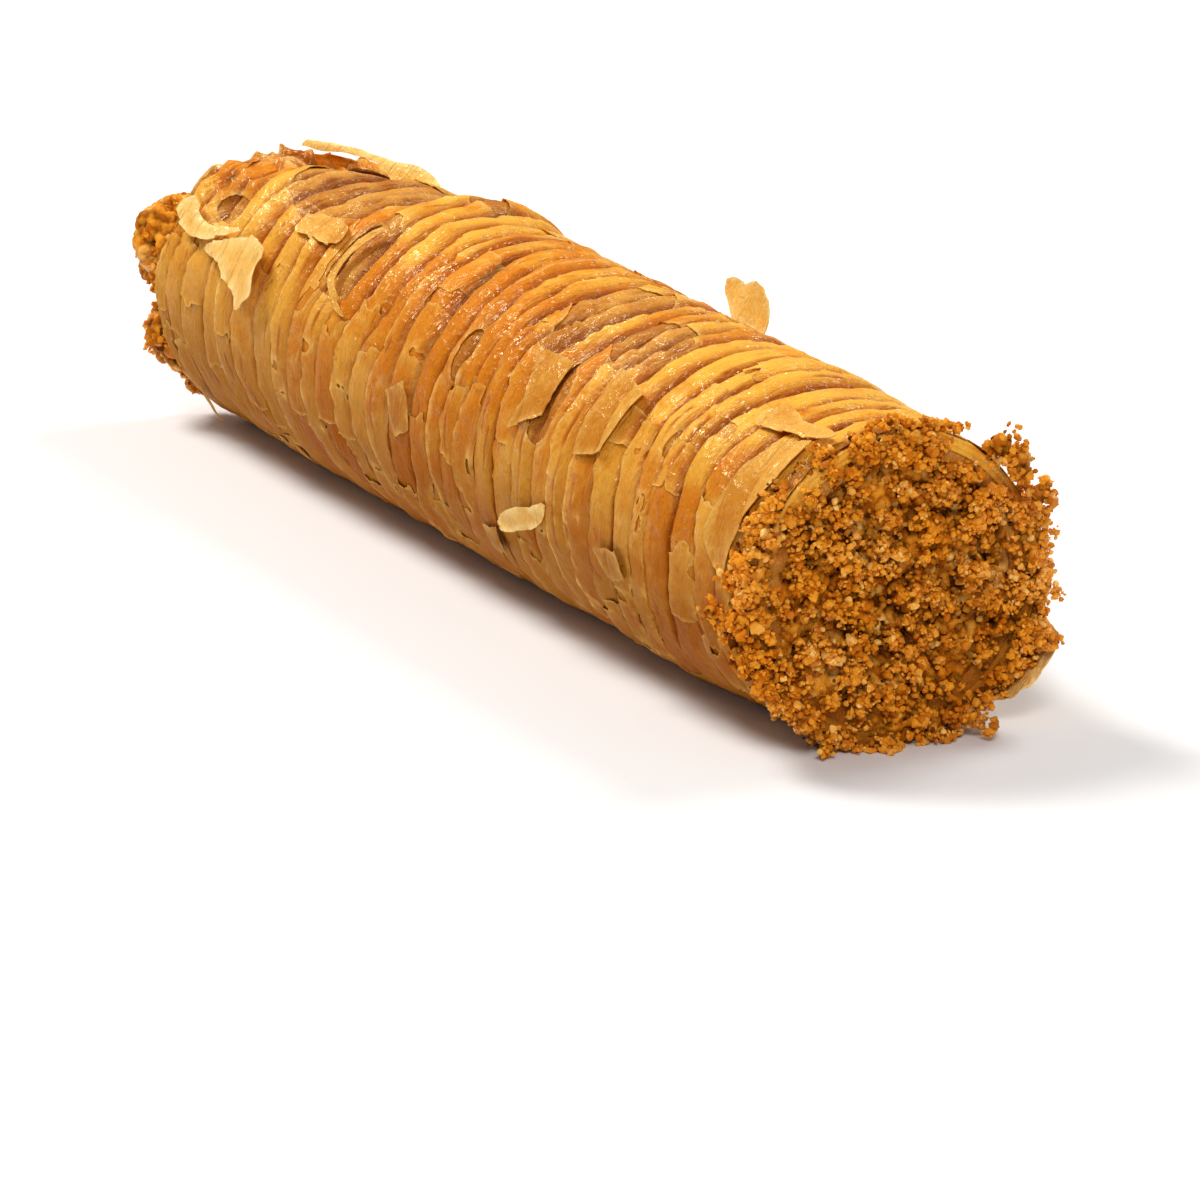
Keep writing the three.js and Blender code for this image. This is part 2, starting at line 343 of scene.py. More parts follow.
    def crest_radius(self, x: Array, angle: Array) -> Array:
        """Gives the radius of the pleats' crests."""
        taper = self.near_taper * smooth(self.near_rim - 22, self.near_rim - 9, x)
        rises = sum(mound.rise * mound.reach(x, angle) for mound in UNEVEN)
        return self.radius - taper + self.waviness * self.noise(x, angle, 14, 11, 24) + rises

    def points(self, x: Array, angle: Array, radius: Array) -> Array:
        """Gives the points at places on the roll, in rows, pressed flat where they would be too low.

        Args:
            x: Places along the roll.
            angle: Their angles.
            radius: Their distances from its axis.
        """
        across, up = across_up(radius, angle)
        return table(x, -across, np.maximum(self.axis_height + up, 0.0))

    def skin(self, x: Array, angle: Array, stands: Array | float, relief: float = 1.0) -> Array:
        """Gives the points that stand a distance off the innermost pleated sheet.

        Args:
            x: Places along the roll.
            angle: Their angles.
            stands: That distance.
            relief: How much of the pleats' relief shows, from 0 to 1.
        """
        pleats = self.pleats(x, angle)
        radius = self.crest_radius(x, angle) + relief * (self.creases(x, angle) - pleats.drop)
        return self.points(x - relief * pleats.lean, angle, radius + stands - self.sheets_below)


# ---- Meshes ----


@dataclass
class Shape:
    """A mesh before Blender has it.

    Attributes:
        points: Its points in millimetres, as rows of three numbers.
        triangles: Its triangles, as rows of three point numbers.
        paint: Numbers that its material reads, one for each point, by name.
    """

    points: Array
    triangles: Array
    paint: dict[str, Array]

    def to_object(self, name: str, sharp_above: float) -> bpy.types.Object:
        """Makes the Blender object.

        Args:
            name: The piece's name.
            sharp_above: The angle in degrees above which an edge is sharp.

        Returns:
            The object, linked to the scene.
        """
        mesh = bpy.data.meshes.new(name)
        count = len(self.triangles)
        mesh.vertices.add(len(self.points))
        mesh.vertices.foreach_set("co", (self.points * MM).astype(np.float32).ravel())
        mesh.loops.add(3 * count)
        mesh.loops.foreach_set("vertex_index", self.triangles.astype(np.int32).ravel())
        mesh.polygons.add(count)
        mesh.polygons.foreach_set("loop_start", np.arange(0, 3 * count, 3, dtype=np.int32))
        mesh.update(calc_edges=True)
        for key, values in self.paint.items():
            kind, part = ("FLOAT", "value") if values.ndim == 1 else ("FLOAT_VECTOR", "vector")
            layer = mesh.attributes.new(key, kind, "POINT")
            layer.data.foreach_set(part, values.astype(np.float32).ravel())
        mesh.shade_smooth()
        mesh.set_sharp_from_angle(angle=math.radians(sharp_above))
        piece = bpy.data.objects.new(name, mesh)
        bpy.context.scene.collection.objects.link(piece)
        return piece


def grid_triangles(rows: int, columns: int) -> Array:
    """Gives the triangles of a grid of points, numbered row by row.

    Args:
        rows: How many rows of points there are, along the roll.
        columns: How many points each row has, round the roll.

    Returns:
        Triangles that face out of the roll.
    """
    corner = (np.arange(rows - 1)[:, None] * columns + np.arange(columns - 1)).ravel()
    right, up = corner + 1, corner + columns
    first = table(corner, right, up)
    second = table(right, up + 1, up)
    odd = (corner // columns + corner % columns) % 2 == 1
    first[odd] = table(corner, right, up + 1)[odd]
    second[odd] = table(corner, up + 1, up)[odd]
    return np.concatenate([first, second])


def ring_triangles(count: int, columns: int) -> Array:
    """Gives the triangles between `count` closed rings of `columns` points each."""
    row, column = np.divmod(grid_triangles(count, columns + 1), columns + 1)
    return row * columns + column % columns


def clipped(triangles: Array, inside: Array) -> tuple[Array, Array, Array]:
    """Cuts triangles along the line where a number is zero, and keeps where it is positive.

    Args:
        triangles: Rows of three point numbers.
        inside: That number at each point.

    Returns:
        The triangles left, whose new points are numbered after the old ones, the pair of old points that
        each new point lies between, and how far along that pair it is.
    """
    kept = inside > 0
    count = kept[triangles].sum(axis=1)
    whole = triangles[count == 3]
    made = []
    for odd_one, wanted in ((True, 1), (False, 2)):
        cut = triangles[count == wanted]
        first = np.argmax(kept[cut] == odd_one, axis=1)
        turned = (first[:, None] + np.arange(3)) % 3
        made.append(np.take_along_axis(cut, turned, axis=1))
    one, two = made
    pairs = np.concatenate([one[:, [0, 1]], one[:, [0, 2]], two[:, [0, 1]], two[:, [0, 2]]])
    unique, where = np.unique(np.sort(pairs, axis=1), axis=0, return_inverse=True)
    new = len(inside) + where.reshape(-1)
    n_one, n_two = len(one), len(two)
    a, b = new[:n_one], new[n_one : 2 * n_one]
    c, d = new[2 * n_one : 2 * n_one + n_two], new[2 * n_one + n_two :]
    corners = table(one[:, 0], a, b)
    near = table(c, two[:, 1], two[:, 2])
    far = table(c, two[:, 2], d)
    start, end = inside[unique[:, 0]], inside[unique[:, 1]]
    return np.concatenate([whole, corners, near, far]), unique, start / (start - end)


def outline_edges(triangles: Array) -> Array:
    """Gives the edges that only one triangle has, in that triangle's direction."""
    edges = np.concatenate([triangles[:, [0, 1]], triangles[:, [1, 2]], triangles[:, [2, 0]]])
    span = int(triangles.max()) + 1
    forward = edges[:, 0] * span + edges[:, 1]
    backward = edges[:, 1] * span + edges[:, 0]
    return edges[~np.isin(forward, backward)]


def thin_body(outer: Array, inner: Array, triangles: Array, paint: dict[str, Array]) -> Shape:
    """Closes a thin body between two like surfaces.

    Args:
        outer: The outer surface's points.
        inner: The inner surface's points, in the same order.
        triangles: The outer surface's triangles.
        paint: Its paint, which the inner surface shares.

    Returns:
        The closed body.
    """
    edges = outline_edges(triangles)
    count = len(outer)
    first = table(edges[:, 1], edges[:, 0], edges[:, 0] + count)
    second = table(edges[:, 1], edges[:, 0] + count, edges[:, 1] + count)
    faces = np.concatenate([triangles, triangles[:, ::-1] + count, first, second])
    doubled = {key: np.concatenate([values, values]) for key, values in paint.items()}
    return Shape(np.concatenate([outer, inner]), faces, doubled)


def joined(shapes: Sequence[Shape]) -> Shape:
    """Joins several shapes, with the same paint, into one."""
    starts = np.cumsum([0] + [len(shape.points) for shape in shapes[:-1]])
    triangles = [shape.triangles + start for shape, start in zip(shapes, starts, strict=True)]
    paint = {key: np.concatenate([shape.paint[key] for shape in shapes]) for key in shapes[0].paint}
    return Shape(np.concatenate([shape.points for shape in shapes]), np.concatenate(triangles), paint)


# ---- Sheets of pastry ----


@dataclass(frozen=True)
class Sheet:
    """A thin sheet of pastry that follows the roll wherever it isn't torn away.

    Attributes:
        cover: How far inside the sheet's torn edge a place is, negative where it is torn away.
        stands: How far its underside is off the innermost sheet.
        thickness: How thick it is.
        along: The range of x that it is made for.
        around: The range of angles.
        cell: The size of its mesh's cells along the roll and round it.
        lift: How much further each place stands off, from its x, angle and distance inside the edge.
        relief: How much of the pleats' relief it has.
        rim: How wide the painted highlight along its torn edge is.
    """

    form: RollForm
    cover: Cover
    stands: float
    thickness: float
    along: tuple[float, float]
    around: tuple[float, float] = (-179.0, 179.0)
    cell: tuple[float, float] = (0.43, 0.84)
    lift: Lift | None = None
    relief: float = 1.0
    rim: float = 0.3

    def shape(self) -> Shape:
        """Makes the sheet as a closed thin body."""
        form = self.form
        arc = math.radians(self.around[1] - self.around[0]) * form.radius
        length = max(2, round((self.along[1] - self.along[0]) / self.cell[0]) + 1)
        width = max(2, round(arc / self.cell[1]) + 1)
        x, angle = grid(np.linspace(*self.along, length), np.linspace(*self.around, width))
        border = np.zeros((length, width), bool)
        border[[0, -1], :] = border[:, [0, -1]] = True
        inside = self.cover(x, angle)
        inside = np.where(border.ravel(), np.minimum(inside, -1e-3), inside)
        triangles, pairs, share = clipped(grid_triangles(length, width), inside)
        blend = [
            np.concatenate([values, values[pairs[:, 0]] * (1 - share) + values[pairs[:, 1]] * share])
            for values in (x, angle, np.maximum(inside, 0))
        ]
        blend[2][len(x) :] = 0
        used, triangles = np.unique(triangles, return_inverse=True)
        x, angle, inside = (values[used] for values in blend)
        triangles = triangles.reshape(-1, 3)

        rise = self.lift(x, angle, inside) if self.lift else 0.0
        outer = form.skin(x, angle, self.stands + self.thickness + rise, self.relief)
        inner = form.skin(x, angle, self.stands + rise, self.relief)
        paint = pastry_paint(form, x, angle, inside)
        # The painted groove shade and lip highlight only go as far as the relief; the painted torn-edge
        # highlight is rim wide.
        paint["groove"] *= self.relief
        paint["lip"] *= self.relief
        paint["torn"] = np.exp(-inside / self.rim)
        return thin_body(outer, inner, triangles, paint)


def pastry_paint(form: RollForm, x: Array, angle: Array, inside: Array) -> dict[str, Array]:
    """Gives the numbers that the pastry's material reads.

    Args:
        form: The roll's form.
        x: Places along the roll.
        angle: Their angles.
        inside: How far inside the sheet's torn edge each is.

    Returns:
        groove, how deep in a groove the place is, which is painted as shade; lip, how near the edge of a
        fold, and torn, how near a torn edge, which are painted as highlight; tone, a shade of its own for
        each pleat and stretch of it; shade, how far round towards the bottom it is, which is painted as
        shade; glaze, how much syrup lies on it; grain, a place for textures drawn out round it.
    """
    pleats = form.pleats(x, angle)
    own = hashed(pleats.number, seed=8) - 0.5
    stretch = noise(table(pleats.number * 3.3, angle / 17, own), 31, 2)
    across, up = across_up(form.radius, angle)
    lumps = form.crumple(x, angle)
    regions = sum(mound.rise * mound.reach(x, angle) for mound in TONES)
    return {
        # Painted shade: grooves, and the crumpled far end's hollows, count as groove.
        "groove": np.maximum(pleats.groove, np.clip(-1.3 * lumps, 0, 0.8)),
        # Painted highlight: lips, and the crumpled far end's lumps, count as lip.
        "lip": np.maximum(pleats.lip, np.clip(2.2 * lumps, 0, 1)),
        # Painted highlight along torn edges.
        "torn": np.exp(-inside / 0.3),
        "tone": 0.7 * own + 0.8 * stretch - 0.85 * CRUMPLED.reach(x, angle) + regions,
        # Painted shade: darker towards the bottom of the roll.
        "shade": smooth(30, 118, np.abs(angle)),
        "glaze": 1 - 0.94 * smooth(48, 112, np.abs(angle)),
        "grain": table(x, across / 6, up / 6),
    }


# ---- Materials ----


Colour = tuple[float, float, float]
SYRUP: Colour = (1.0, 0.81, 0.45)


def linear(red: int, green: int, blue: int) -> Colour:
    """Turns a colour as seen on screen, in steps of 255, into the renderer's linear numbers."""
    parts = [value / 255 for value in (red, green, blue)]
    return tuple(p / 12.92 if p <= 0.04045 else ((p + 0.055) / 1.055) ** 2.4 for p in parts)


@dataclass(frozen=True)
class Signal:
    """A number on a socket of a material. Maths on it adds Math nodes."""

    paint: "Paint"
    socket: bpy.types.NodeSocket

    def maths(self, operation: str, *values: "Signal | float") -> "Signal":
        """Adds one Math node, whose inputs are the values in order."""
        settings = {"operation": operation, "use_clamp": False}
        return self.paint.node("ShaderNodeMath", settings, dict(enumerate(values)))

    def __add__(self, other: "Signal | float") -> "Signal":
        """Adds."""
        return self.maths("ADD", self, other)

    def __sub__(self, other: "Signal | float") -> "Signal":
        """Subtracts."""
        return self.maths("SUBTRACT", self, other)

    def __rsub__(self, other: float) -> "Signal":
        """Subtracts this from a number."""
        return self.maths("SUBTRACT", other, self)

    def __mul__(self, other: "Signal | float") -> "Signal":
        """Multiplies."""
        return self.maths("MULTIPLY", self, other)

    def __pow__(self, power: float) -> "Signal":
        """Raises to a power."""
        return self.maths("POWER", self, power)

    __radd__ = __add__
    __rmul__ = __mul__

    def between(self, low: float, high: float) -> "Signal":
        """Steps smoothly from 0 at `low` to 1 at `high`."""
        settings = {"interpolation_type": "SMOOTHSTEP"}
        inputs = {"Value": self, "From Min": low, "From Max": high}
        return self.paint.node("ShaderNodeMapRange", settings, inputs)


class Paint:
    """A material's nodes, as they are put together."""

    def __init__(self, name: str) -> None:
        """Starts a material."""
        self.material = bpy.data.materials.new(name)
        self.material.use_nodes = True
        self.nodes = self.material.node_tree.nodes
        self.links = self.material.node_tree.links
        self.nodes.remove(self.nodes["Principled BSDF"])

    def _set(self, socket: bpy.types.NodeSocket, value: "Signal | float | Sequence[float]") -> None:
        """Links a signal to a socket, or sets the socket's own value."""
        if isinstance(value, Signal):
            self.links.new(value.socket, socket)
        elif socket.type == "RGBA":
            socket.default_value = (*value, 1.0)
        else:
            socket.default_value = value

    def node(self, kind: str, settings: dict, inputs: dict, output: str | int = 0) -> Signal:
        """Adds a node.

        Args:
            kind: The node's type.
            settings: Its settings, which are set first.
            inputs: The values or signals of its sockets, by name or number.
            output: Which of its outputs is wanted.

        Returns:
            That output.
        """
        made = self.nodes.new(kind)
        for key, value in settings.items():
            setattr(made, key, value)
        for key, value in inputs.items():
            self._set(made.inputs[key], value)
        return Signal(self, made.outputs[output])

    def attribute(self, name: str, output: str = "Fac") -> Signal:
        """Reads numbers that are painted on the mesh."""
        return self.node("ShaderNodeAttribute", {"attribute_name": name}, {}, output)

    def mix(self, first: "Signal | Colour", second: "Signal | Colour", share: Signal) -> Signal:
        """Mixes two colours."""
        settings = {"data_type": "RGBA", "clamp_factor": True}
        return self.node("ShaderNodeMix", settings, {0: share, 6: first, 7: second}, 2)

    def noise(self, vector: Signal, scale: float, detail: float = 3.0, rough: float = 0.6) -> Signal:
        """Adds a noise from 0 to 1."""
        inputs = {"Vector": vector, "Scale": scale, "Detail": detail, "Roughness": rough}
        return self.node("ShaderNodeTexNoise", {}, inputs)

    def bump(self, height: Signal, distance: float, strength: float, under: Signal | None = None) -> Signal:
        """Adds a bump, `distance` metres high."""
        inputs = {"Strength": strength, "Distance": distance, "Height": height}
        return self.node("ShaderNodeBump", {}, inputs | ({"Normal": under} if under else {}))

    def principled(self, **inputs: "Signal | float | Sequence[float]") -> Signal:
        """Adds a Principled shader, with its sockets' names written with underscores."""
        named = {key.replace("_", " "): value for key, value in inputs.items()}
        return self.node("ShaderNodeBsdfPrincipled", {}, named)

    def shade(
        self, dry: Signal, wet: Signal | None = None, share: Signal | None = None
    ) -> bpy.types.Material:
        """Finishes the material.

        Args:
            dry: Its shader.
            wet: Its shader where it is wet.
            share: How wet it is, from 0 to 1.

        Returns:
            The material.
        """
        shader = self.node("ShaderNodeMixShader", {}, {0: share, 1: dry, 2: wet}) if wet else dry
        self.links.new(shader.socket, self.nodes["Material Output"].inputs["Surface"])
        return self.material


@dataclass(frozen=True)
class PastryFinish:
    """Baked filo pastry, glazed with syrup.

    Attributes:
        pale: Its colour where it is driest.
        golden: Its usual colour.
        amber: Its painted shade on the way down into a groove, and its own colour where it is browned.
        deep: Its painted shade in the bottom of a groove.
        rim: The colour of the painted highlight on the folds' lips and on torn edges.
        underside_shade: The colour of the painted shade that it turns towards lower down.
        paleness: How much of it is pale.
        roughness: How rough it is where it is dry.
        wetness: How much syrup lies on it.
        blistering: How blistered it is.
        torn_edge_highlight: How strongly the painted highlight shows along the torn edges.
    """

    name: str
    pale: Colour = linear(244, 178, 60)
    golden: Colour = linear(218, 126, 16)
    amber: Colour = linear(172, 84, 4)
    deep: Colour = linear(96, 36, 0)
    rim: Colour = linear(252, 206, 112)
    underside_shade: Colour = linear(138, 66, 6)
    paleness: float = 0.45
    roughness: float = 0.42
    wetness: float = 0.75
    blistering: float = 0.35
    torn_edge_highlight: float = 0.5

    def material(self) -> bpy.types.Material:
        """Makes the material."""
        paint = Paint(self.name)
        place = paint.node("ShaderNodeTexCoord", {}, {}, "Object")
        grain = paint.attribute("grain", "Vector")
        groove, lip, torn = (paint.attribute(key) for key in ("groove", "lip", "torn"))
        tone, shade = paint.attribute("tone"), paint.attribute("shade")
        cloudy = paint.noise(place, 170, 4)
        patchy = paint.noise(place, 620, 4, 0.7)
        streaks = paint.noise(grain, 1.5, 3, 0.55)
        blisters = paint.noise(place, 2100, 3, 0.7)
        film = paint.noise(place, 1250, 1, 0.5)
        runs = paint.noise(place, 360, 3)

        uneven = 2.0 * (cloudy - 0.5) + 1.3 * (patchy - 0.5) + 0.45 * (streaks - 0.5)
        light = self.paleness + 0.8 * tone + uneven
        colour = paint.mix(self.golden, self.pale, light.between(0.0, 0.9))
        spots = blisters.between(0.54, 0.72) * 0.5 + patchy.between(0.52, 0.76) * 0.5
        browned = spots * (1 - 0.8 * light)
        # Painted shade: amber on the way down into a groove and deep at its bottom; browned spots are the
        # pastry's own amber.
        colour = paint.mix(colour, self.amber, groove.between(0.1, 0.62) + browned)
        colour = paint.mix(colour, self.deep, groove.between(0.52, 0.95) * 0.9)
        # Painted shade: darker towards the bottom of the roll.
        colour = paint.mix(colour, self.underside_shade, shade * 0.72)
        # Painted highlight: the folds' lips and the torn edges turn towards the pale rim colour, in patches
        # set by the noise worn.
        worn = patchy.between(0.4, 0.62)
        edges = torn * self.torn_edge_highlight * (0.4 + 0.6 * worn) + lip.between(0.4, 1.0) * worn * 0.6
        colour = paint.mix(colour, self.rim, edges)

        folds, crackle = (
            1 - 3 * value.maths("ABSOLUTE", value - 0.5) for value in (streaks, paint.noise(place, 520, 2))
        )
        wrinkles = paint.bump(folds + 0.5 * crackle + 0.4 * patchy, 0.0007, 0.5)
        pitted = paint.bump(blisters, 0.00035, 0.15 + 0.75 * self.blistering, wrinkles)
        beads = film.between(0.42, 0.56) * (0.4 + 0.6 * runs.between(0.42, 0.56))
        swells = film + 1.2 * runs + (0.15 + 0.45 * self.blistering) * blisters
        rippled = paint.bump(swells, 0.00026, 1.0, paint.bump(folds + 0.5 * crackle, 0.00016, 1.0))
        dry = paint.principled(
            Base_Color=colour,
            Roughness=self.roughness + 0.1 * (blisters - 0.5),
            Specular_IOR_Level=0.03,
            Normal=pitted,
        )
        wet = paint.principled(
            Base_Color=colour,
            Roughness=0.4 - 0.29 * beads,
            Specular_IOR_Level=1.0,
            Specular_Tint=SYRUP,
            Normal=rippled,
        )
        glaze = paint.attribute("glaze")
        share = self.wetness * glaze * (0.2 + 0.8 * beads + 1.1 * lip.between(0.2, 0.8) * film)
        return paint.shade(dry, wet, share)


@dataclass(frozen=True)
class CrumbFinish:
    """Brown crumbs of nut and pastry, damp with syrup."""

    name: str
    dark: Colour = linear(70, 22, 0)
    brown: Colour = linear(198, 108, 14)
    amber: Colour = linear(240, 156, 38)
    light: Colour = linear(252, 196, 100)
    roughness: float = 0.55

    def material(self) -> bpy.types.Material:
        """Makes the material."""
        paint = Paint(self.name)
        place = paint.node("ShaderNodeTexCoord", {}, {}, "Object")
        tone, painted_shade = paint.attribute("tone"), paint.attribute("painted_shade")
        speckle = paint.noise(place, 2600, 3, 0.7)
        patches = paint.noise(place, 160, 3)
        shade = tone + 0.5 * (speckle - 0.5) + 0.8 * (patches - 0.5)
        colour = paint.mix(self.brown, self.amber, shade.between(0.1, 0.65))
        colour = paint.mix(colour, self.light, shade.between(0.7, 1.05))
        # Painted shade: crumbs deep in the heap, between grains or turned inwards are darkened.
        colour = paint.mix(colour, self.dark, painted_shade.between(-0.1, 0.95) * 0.94)
        bumpy = paint.bump(speckle, 0.00015, 0.5)
        dry = paint.principled(
            Base_Color=colour,
            Roughness=self.roughness + 0.3 * (speckle - 0.5),
            Specular_IOR_Level=0.04,
            Normal=bumpy,
        )
        wet = paint.principled(
            Base_Color=colour,
            Roughness=0.2,
            Specular_IOR_Level=0.9,
            Specular_Tint=SYRUP,
            Normal=bumpy,
        )
        return paint.shade(dry, wet, 0.6 * patches.between(0.42, 0.58) * (1 - painted_shade))


@dataclass(frozen=True)
class FloorFinish:
    """A plain pale surface."""

    name: str = "floor"
    colour: Colour = (0.86, 0.855, 0.845)

    def material(self) -> bpy.types.Material:
        """Makes the material."""
        paint = Paint(self.name)
        return paint.shade(paint.principled(Base_Color=self.colour, Roughness=0.7))


# ---- The pastry ----


class Slot(Enum):
    """The record's material slots."""

    PASTRY = "pastry"
    CRUMBS = "crumbs"


class Node(Enum):
    """The solids that the pieces stand for."""

    PASTRY = "pastry"
    CRUMBED_FILLING = "crumbed_filling"


SHEET_SHARP, CRUMB_SHARP = 60.0, 50.0  # degrees


def place_piece(
    name: str,
    shape: Shape,
    material: bpy.types.Material,
    slot: Slot = Slot.PASTRY,
    node: Node = Node.PASTRY,
    sharp_above: float = SHEET_SHARP,
) -> None:
    """Makes a piece, dresses it and puts it on the roll.

    Args:
        name: Its name.
        shape: Its shape.
        material: Its material.
        slot: The record's slot that it is finished like; not used.
        node: The solid that it stands for.
        sharp_above: The angle in degrees above which an edge is sharp.
    """
    piece = shape.to_object(name, sharp_above)
    piece.data.materials.append(material)
    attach(piece, "root")
    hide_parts(node.value)
    log.info("%s: %d triangles", piece.name, len(piece.data.polygons))


HOLES = (
    Mound(-39.5, 9, 9.5, 30),
    Mound(-33, -20, 9, 22),
    Mound(-25.6, 40, 3.2, 21),
    Mound(4.9, 56, 1.7, 11),
    Mound(17, 14, 4.2, 26),
    Mound(28.5, 20, 4.6, 16),
    Mound(23.4, 56, 2.2, 17),
    Mound(52, 38, 1.1, 4),
    Mound(24, -26, 5, 10),
    Mound(-24, -12, 4, 5),
    Mound(-53, 47, 3.2, 8),
    Mound(38, -70, 4.5, 18),
    Mound(12, -118, 3.5, 16),
    Mound(-8, -84, 5, 16),
    Mound(-34, -120, 4, 20),
    Mound(50, -130, 4, 14),
)


DEEP_INSIDE = 9.0  # stands for further inside than any torn edge shows


@dataclass
class PastrySheets:
    """The sheets of pastry that wrap the whole roll, one over another.

    Attributes:
        form: The roll's form.
        core_cell: The size of the core's mesh cells along the roll and round it.
        core_bore: The radius of the core's bore.
        bare_underneath: How many degrees either side of the bottom the outermost sheet leaves bare.
        bore: The inner radius of the rolled layers that show at an end.
        layer: How thick one of those layers is.
        rim_thickness: How thick the ring that they are made as is.
        end_inset: How far in from a rim the outer sheets end.
    """

    form: RollForm
    core_cell: tuple[float, float] = (0.45, 0.8)
    core_bore: float = 12.0
    bare_underneath: float = 20.0
    bore: float = 13.4
    layer: float = 0.6
    rim_thickness: float = 0.25
    end_inset: float = 0.15

    def core(self) -> Shape:
        """Makes the innermost pleated sheet, as a tube."""
        form = self.form
        length = round((form.near_rim - form.far_rim) / self.core_cell[0]) + 1
        columns = round(2 * math.pi * form.radius / self.core_cell[1])
        x, angle = grid(np.linspace(form.far_rim, form.near_rim, length), full_turn(columns))
        angle = turn(0, angle)
        x = x + form.far_inset(angle) * (1 - smooth(form.far_rim, form.far_rim + 10, x))
        outer = form.skin(x, angle, 0.0)
        bore = [
            form.points(x[end : end + columns or None], angle[:columns], np.full(columns, self.core_bore))
            for end in (0, -columns)
        ]
        count = len(outer)
        last = count - columns
        rim = np.arange(columns)
        following = (rim + 1) % columns
        walls = []
        for a, b in ((last, count + columns), (count + columns, count), (count, 0)):
            walls += [table(a + rim, a + following, b + rim), table(a + following, b + following, b + rim)]
        paint = pastry_paint(form, x, angle, np.full(count, DEEP_INSIDE))
        ends = [rim, last + rim]
        # Less painted groove shade on the rings at the ends.
        paint["groove"][np.concatenate(ends)] *= 0.4
        for key, values in paint.items():
            paint[key] = np.concatenate([values, *(values[end] for end in ends)])
        triangles = np.concatenate([ring_triangles(length, columns), *walls])
        return Shape(np.concatenate([outer, *bore]), triangles, paint)

    def rim_face(self, rim: float, out: int) -> Shape:
        """Makes the ring of rolled layers that shows at one end, as a closed thin body.

        Args:
            rim: Where that end is.
            out: 1 at the +X end and -1 at the other.
        """
        form = self.form
        count, columns = 10, 264
        share, angle = grid(np.linspace(0, 1, count), full_turn(columns))
        angle = turn(0, angle)
        end = rim + form.far_inset(angle) if out < 0 else np.full(len(angle), rim)
        edge = form.skin(end, angle, -0.05)
        outermost = np.hypot(edge[:, 1], edge[:, 2] - form.axis_height)
        radius = self.bore + (outermost - self.bore) * share
        rolled = radius + angle / 360 * self.layer + 0.15 * form.noise(radius, angle, 2, 5, 44)
        layer = rolled / self.layer
        ridge = 1 - 2 * np.abs(layer - np.floor(layer) - 0.5)
        x = end + out * (0.1 + 0.16 * ridge * (share < 1))
        paint = pastry_paint(form, end, angle, np.full(len(angle), DEEP_INSIDE))
        # Painted shade between the rolled layers and painted highlight on their ridges.
        paint["groove"], paint["lip"] = 0.35 * (1 - ridge) ** 2, 0.6 * ridge * share
        outer, inner = (form.points(x - out * back, angle, radius) for back in (0.0, self.rim_thickness))
        triangles = ring_triangles(count, columns)
        return thin_body(outer, inner, triangles[:, ::-1] if out > 0 else triangles, paint)

    def middle_cover(self, x: Array, angle: Array) -> Array:
        """Says how far a place is from the holes in the middle sheet."""
        form = self.form
        jag = 0.75 * form.noise(x, angle, 2.2, 3.2, 41, 3)
        nearest = np.full(len(x), DEEP_INSIDE)
        for hole in HOLES:
            away = np.hypot((x - hole.x) / hole.length, turn(hole.angle, angle) / hole.spread) - 1
            nearest = np.minimum(nearest, away * min(hole.length, math.radians(hole.spread) * form.radius))
        worn = 3.2 * (0.74 - form.noise(x, angle, 3.6, 6, 42, 2))
        rim = x - form.far_rim - form.far_inset(angle) - 0.3
        return np.minimum(np.minimum(nearest, worn), rim + 0.4) + jag

    def outer_cover(self, x: Array, angle: Array) -> Array:
        """Says how far inside a scrap of the pale outermost sheet a place is.

        The scraps lie along the pleats: each pleat's stretch is cut into lengths, and some have come away.
        """
        form = self.form
        pleats = form.pleats(x, angle)
        length = 7 + 11 * hashed(pleats.number, seed=51)
        place = angle * math.radians(form.radius) / length + 9 * hashed(pleats.number, seed=52)
        place = place + 0.25 * form.noise(x, angle, 2, 2, 53, 2)
        number = np.floor(place)
        share = place - number
        from_ends = np.minimum(share, 1 - share) * length
        from_grooves = np.minimum(pleats.share - 0.03, 0.96 - pleats.share) * form.pitch
        usual = 0.42 + 0.2 * np.exp(-(((angle - 80) / 30) ** 2)) - 0.26 * np.exp(-(((angle + 5) / 42) ** 2))
        stays = hashed(pleats.number, number, seed=54) < usual
        scrap = np.where(stays, np.minimum(from_ends, from_grooves), -1.0)
        jag = form.noise(x, angle, 1.5, 2.4, 55, 3) * np.where(from_ends < from_grooves, 0.9, 0.12)
        edge = np.minimum(scrap - 0.1, self.middle_cover(x, angle) - 0.5)
        lowest = (np.abs(turn(180, angle)) - self.bare_underneath) * 0.2
        return np.minimum(edge + jag, lowest)

    def curled(self, x: Array, angle: Array, inside: Array) -> Array:
        """Says how far a sheet's torn edge curls up."""
        wild = np.clip(0.5 + 0.9 * self.form.noise(x, angle, 3.5, 3.5, 43), 0, 1)
        return (0.01 + 0.22 * wild**3) * np.exp(-inside / 0.5)

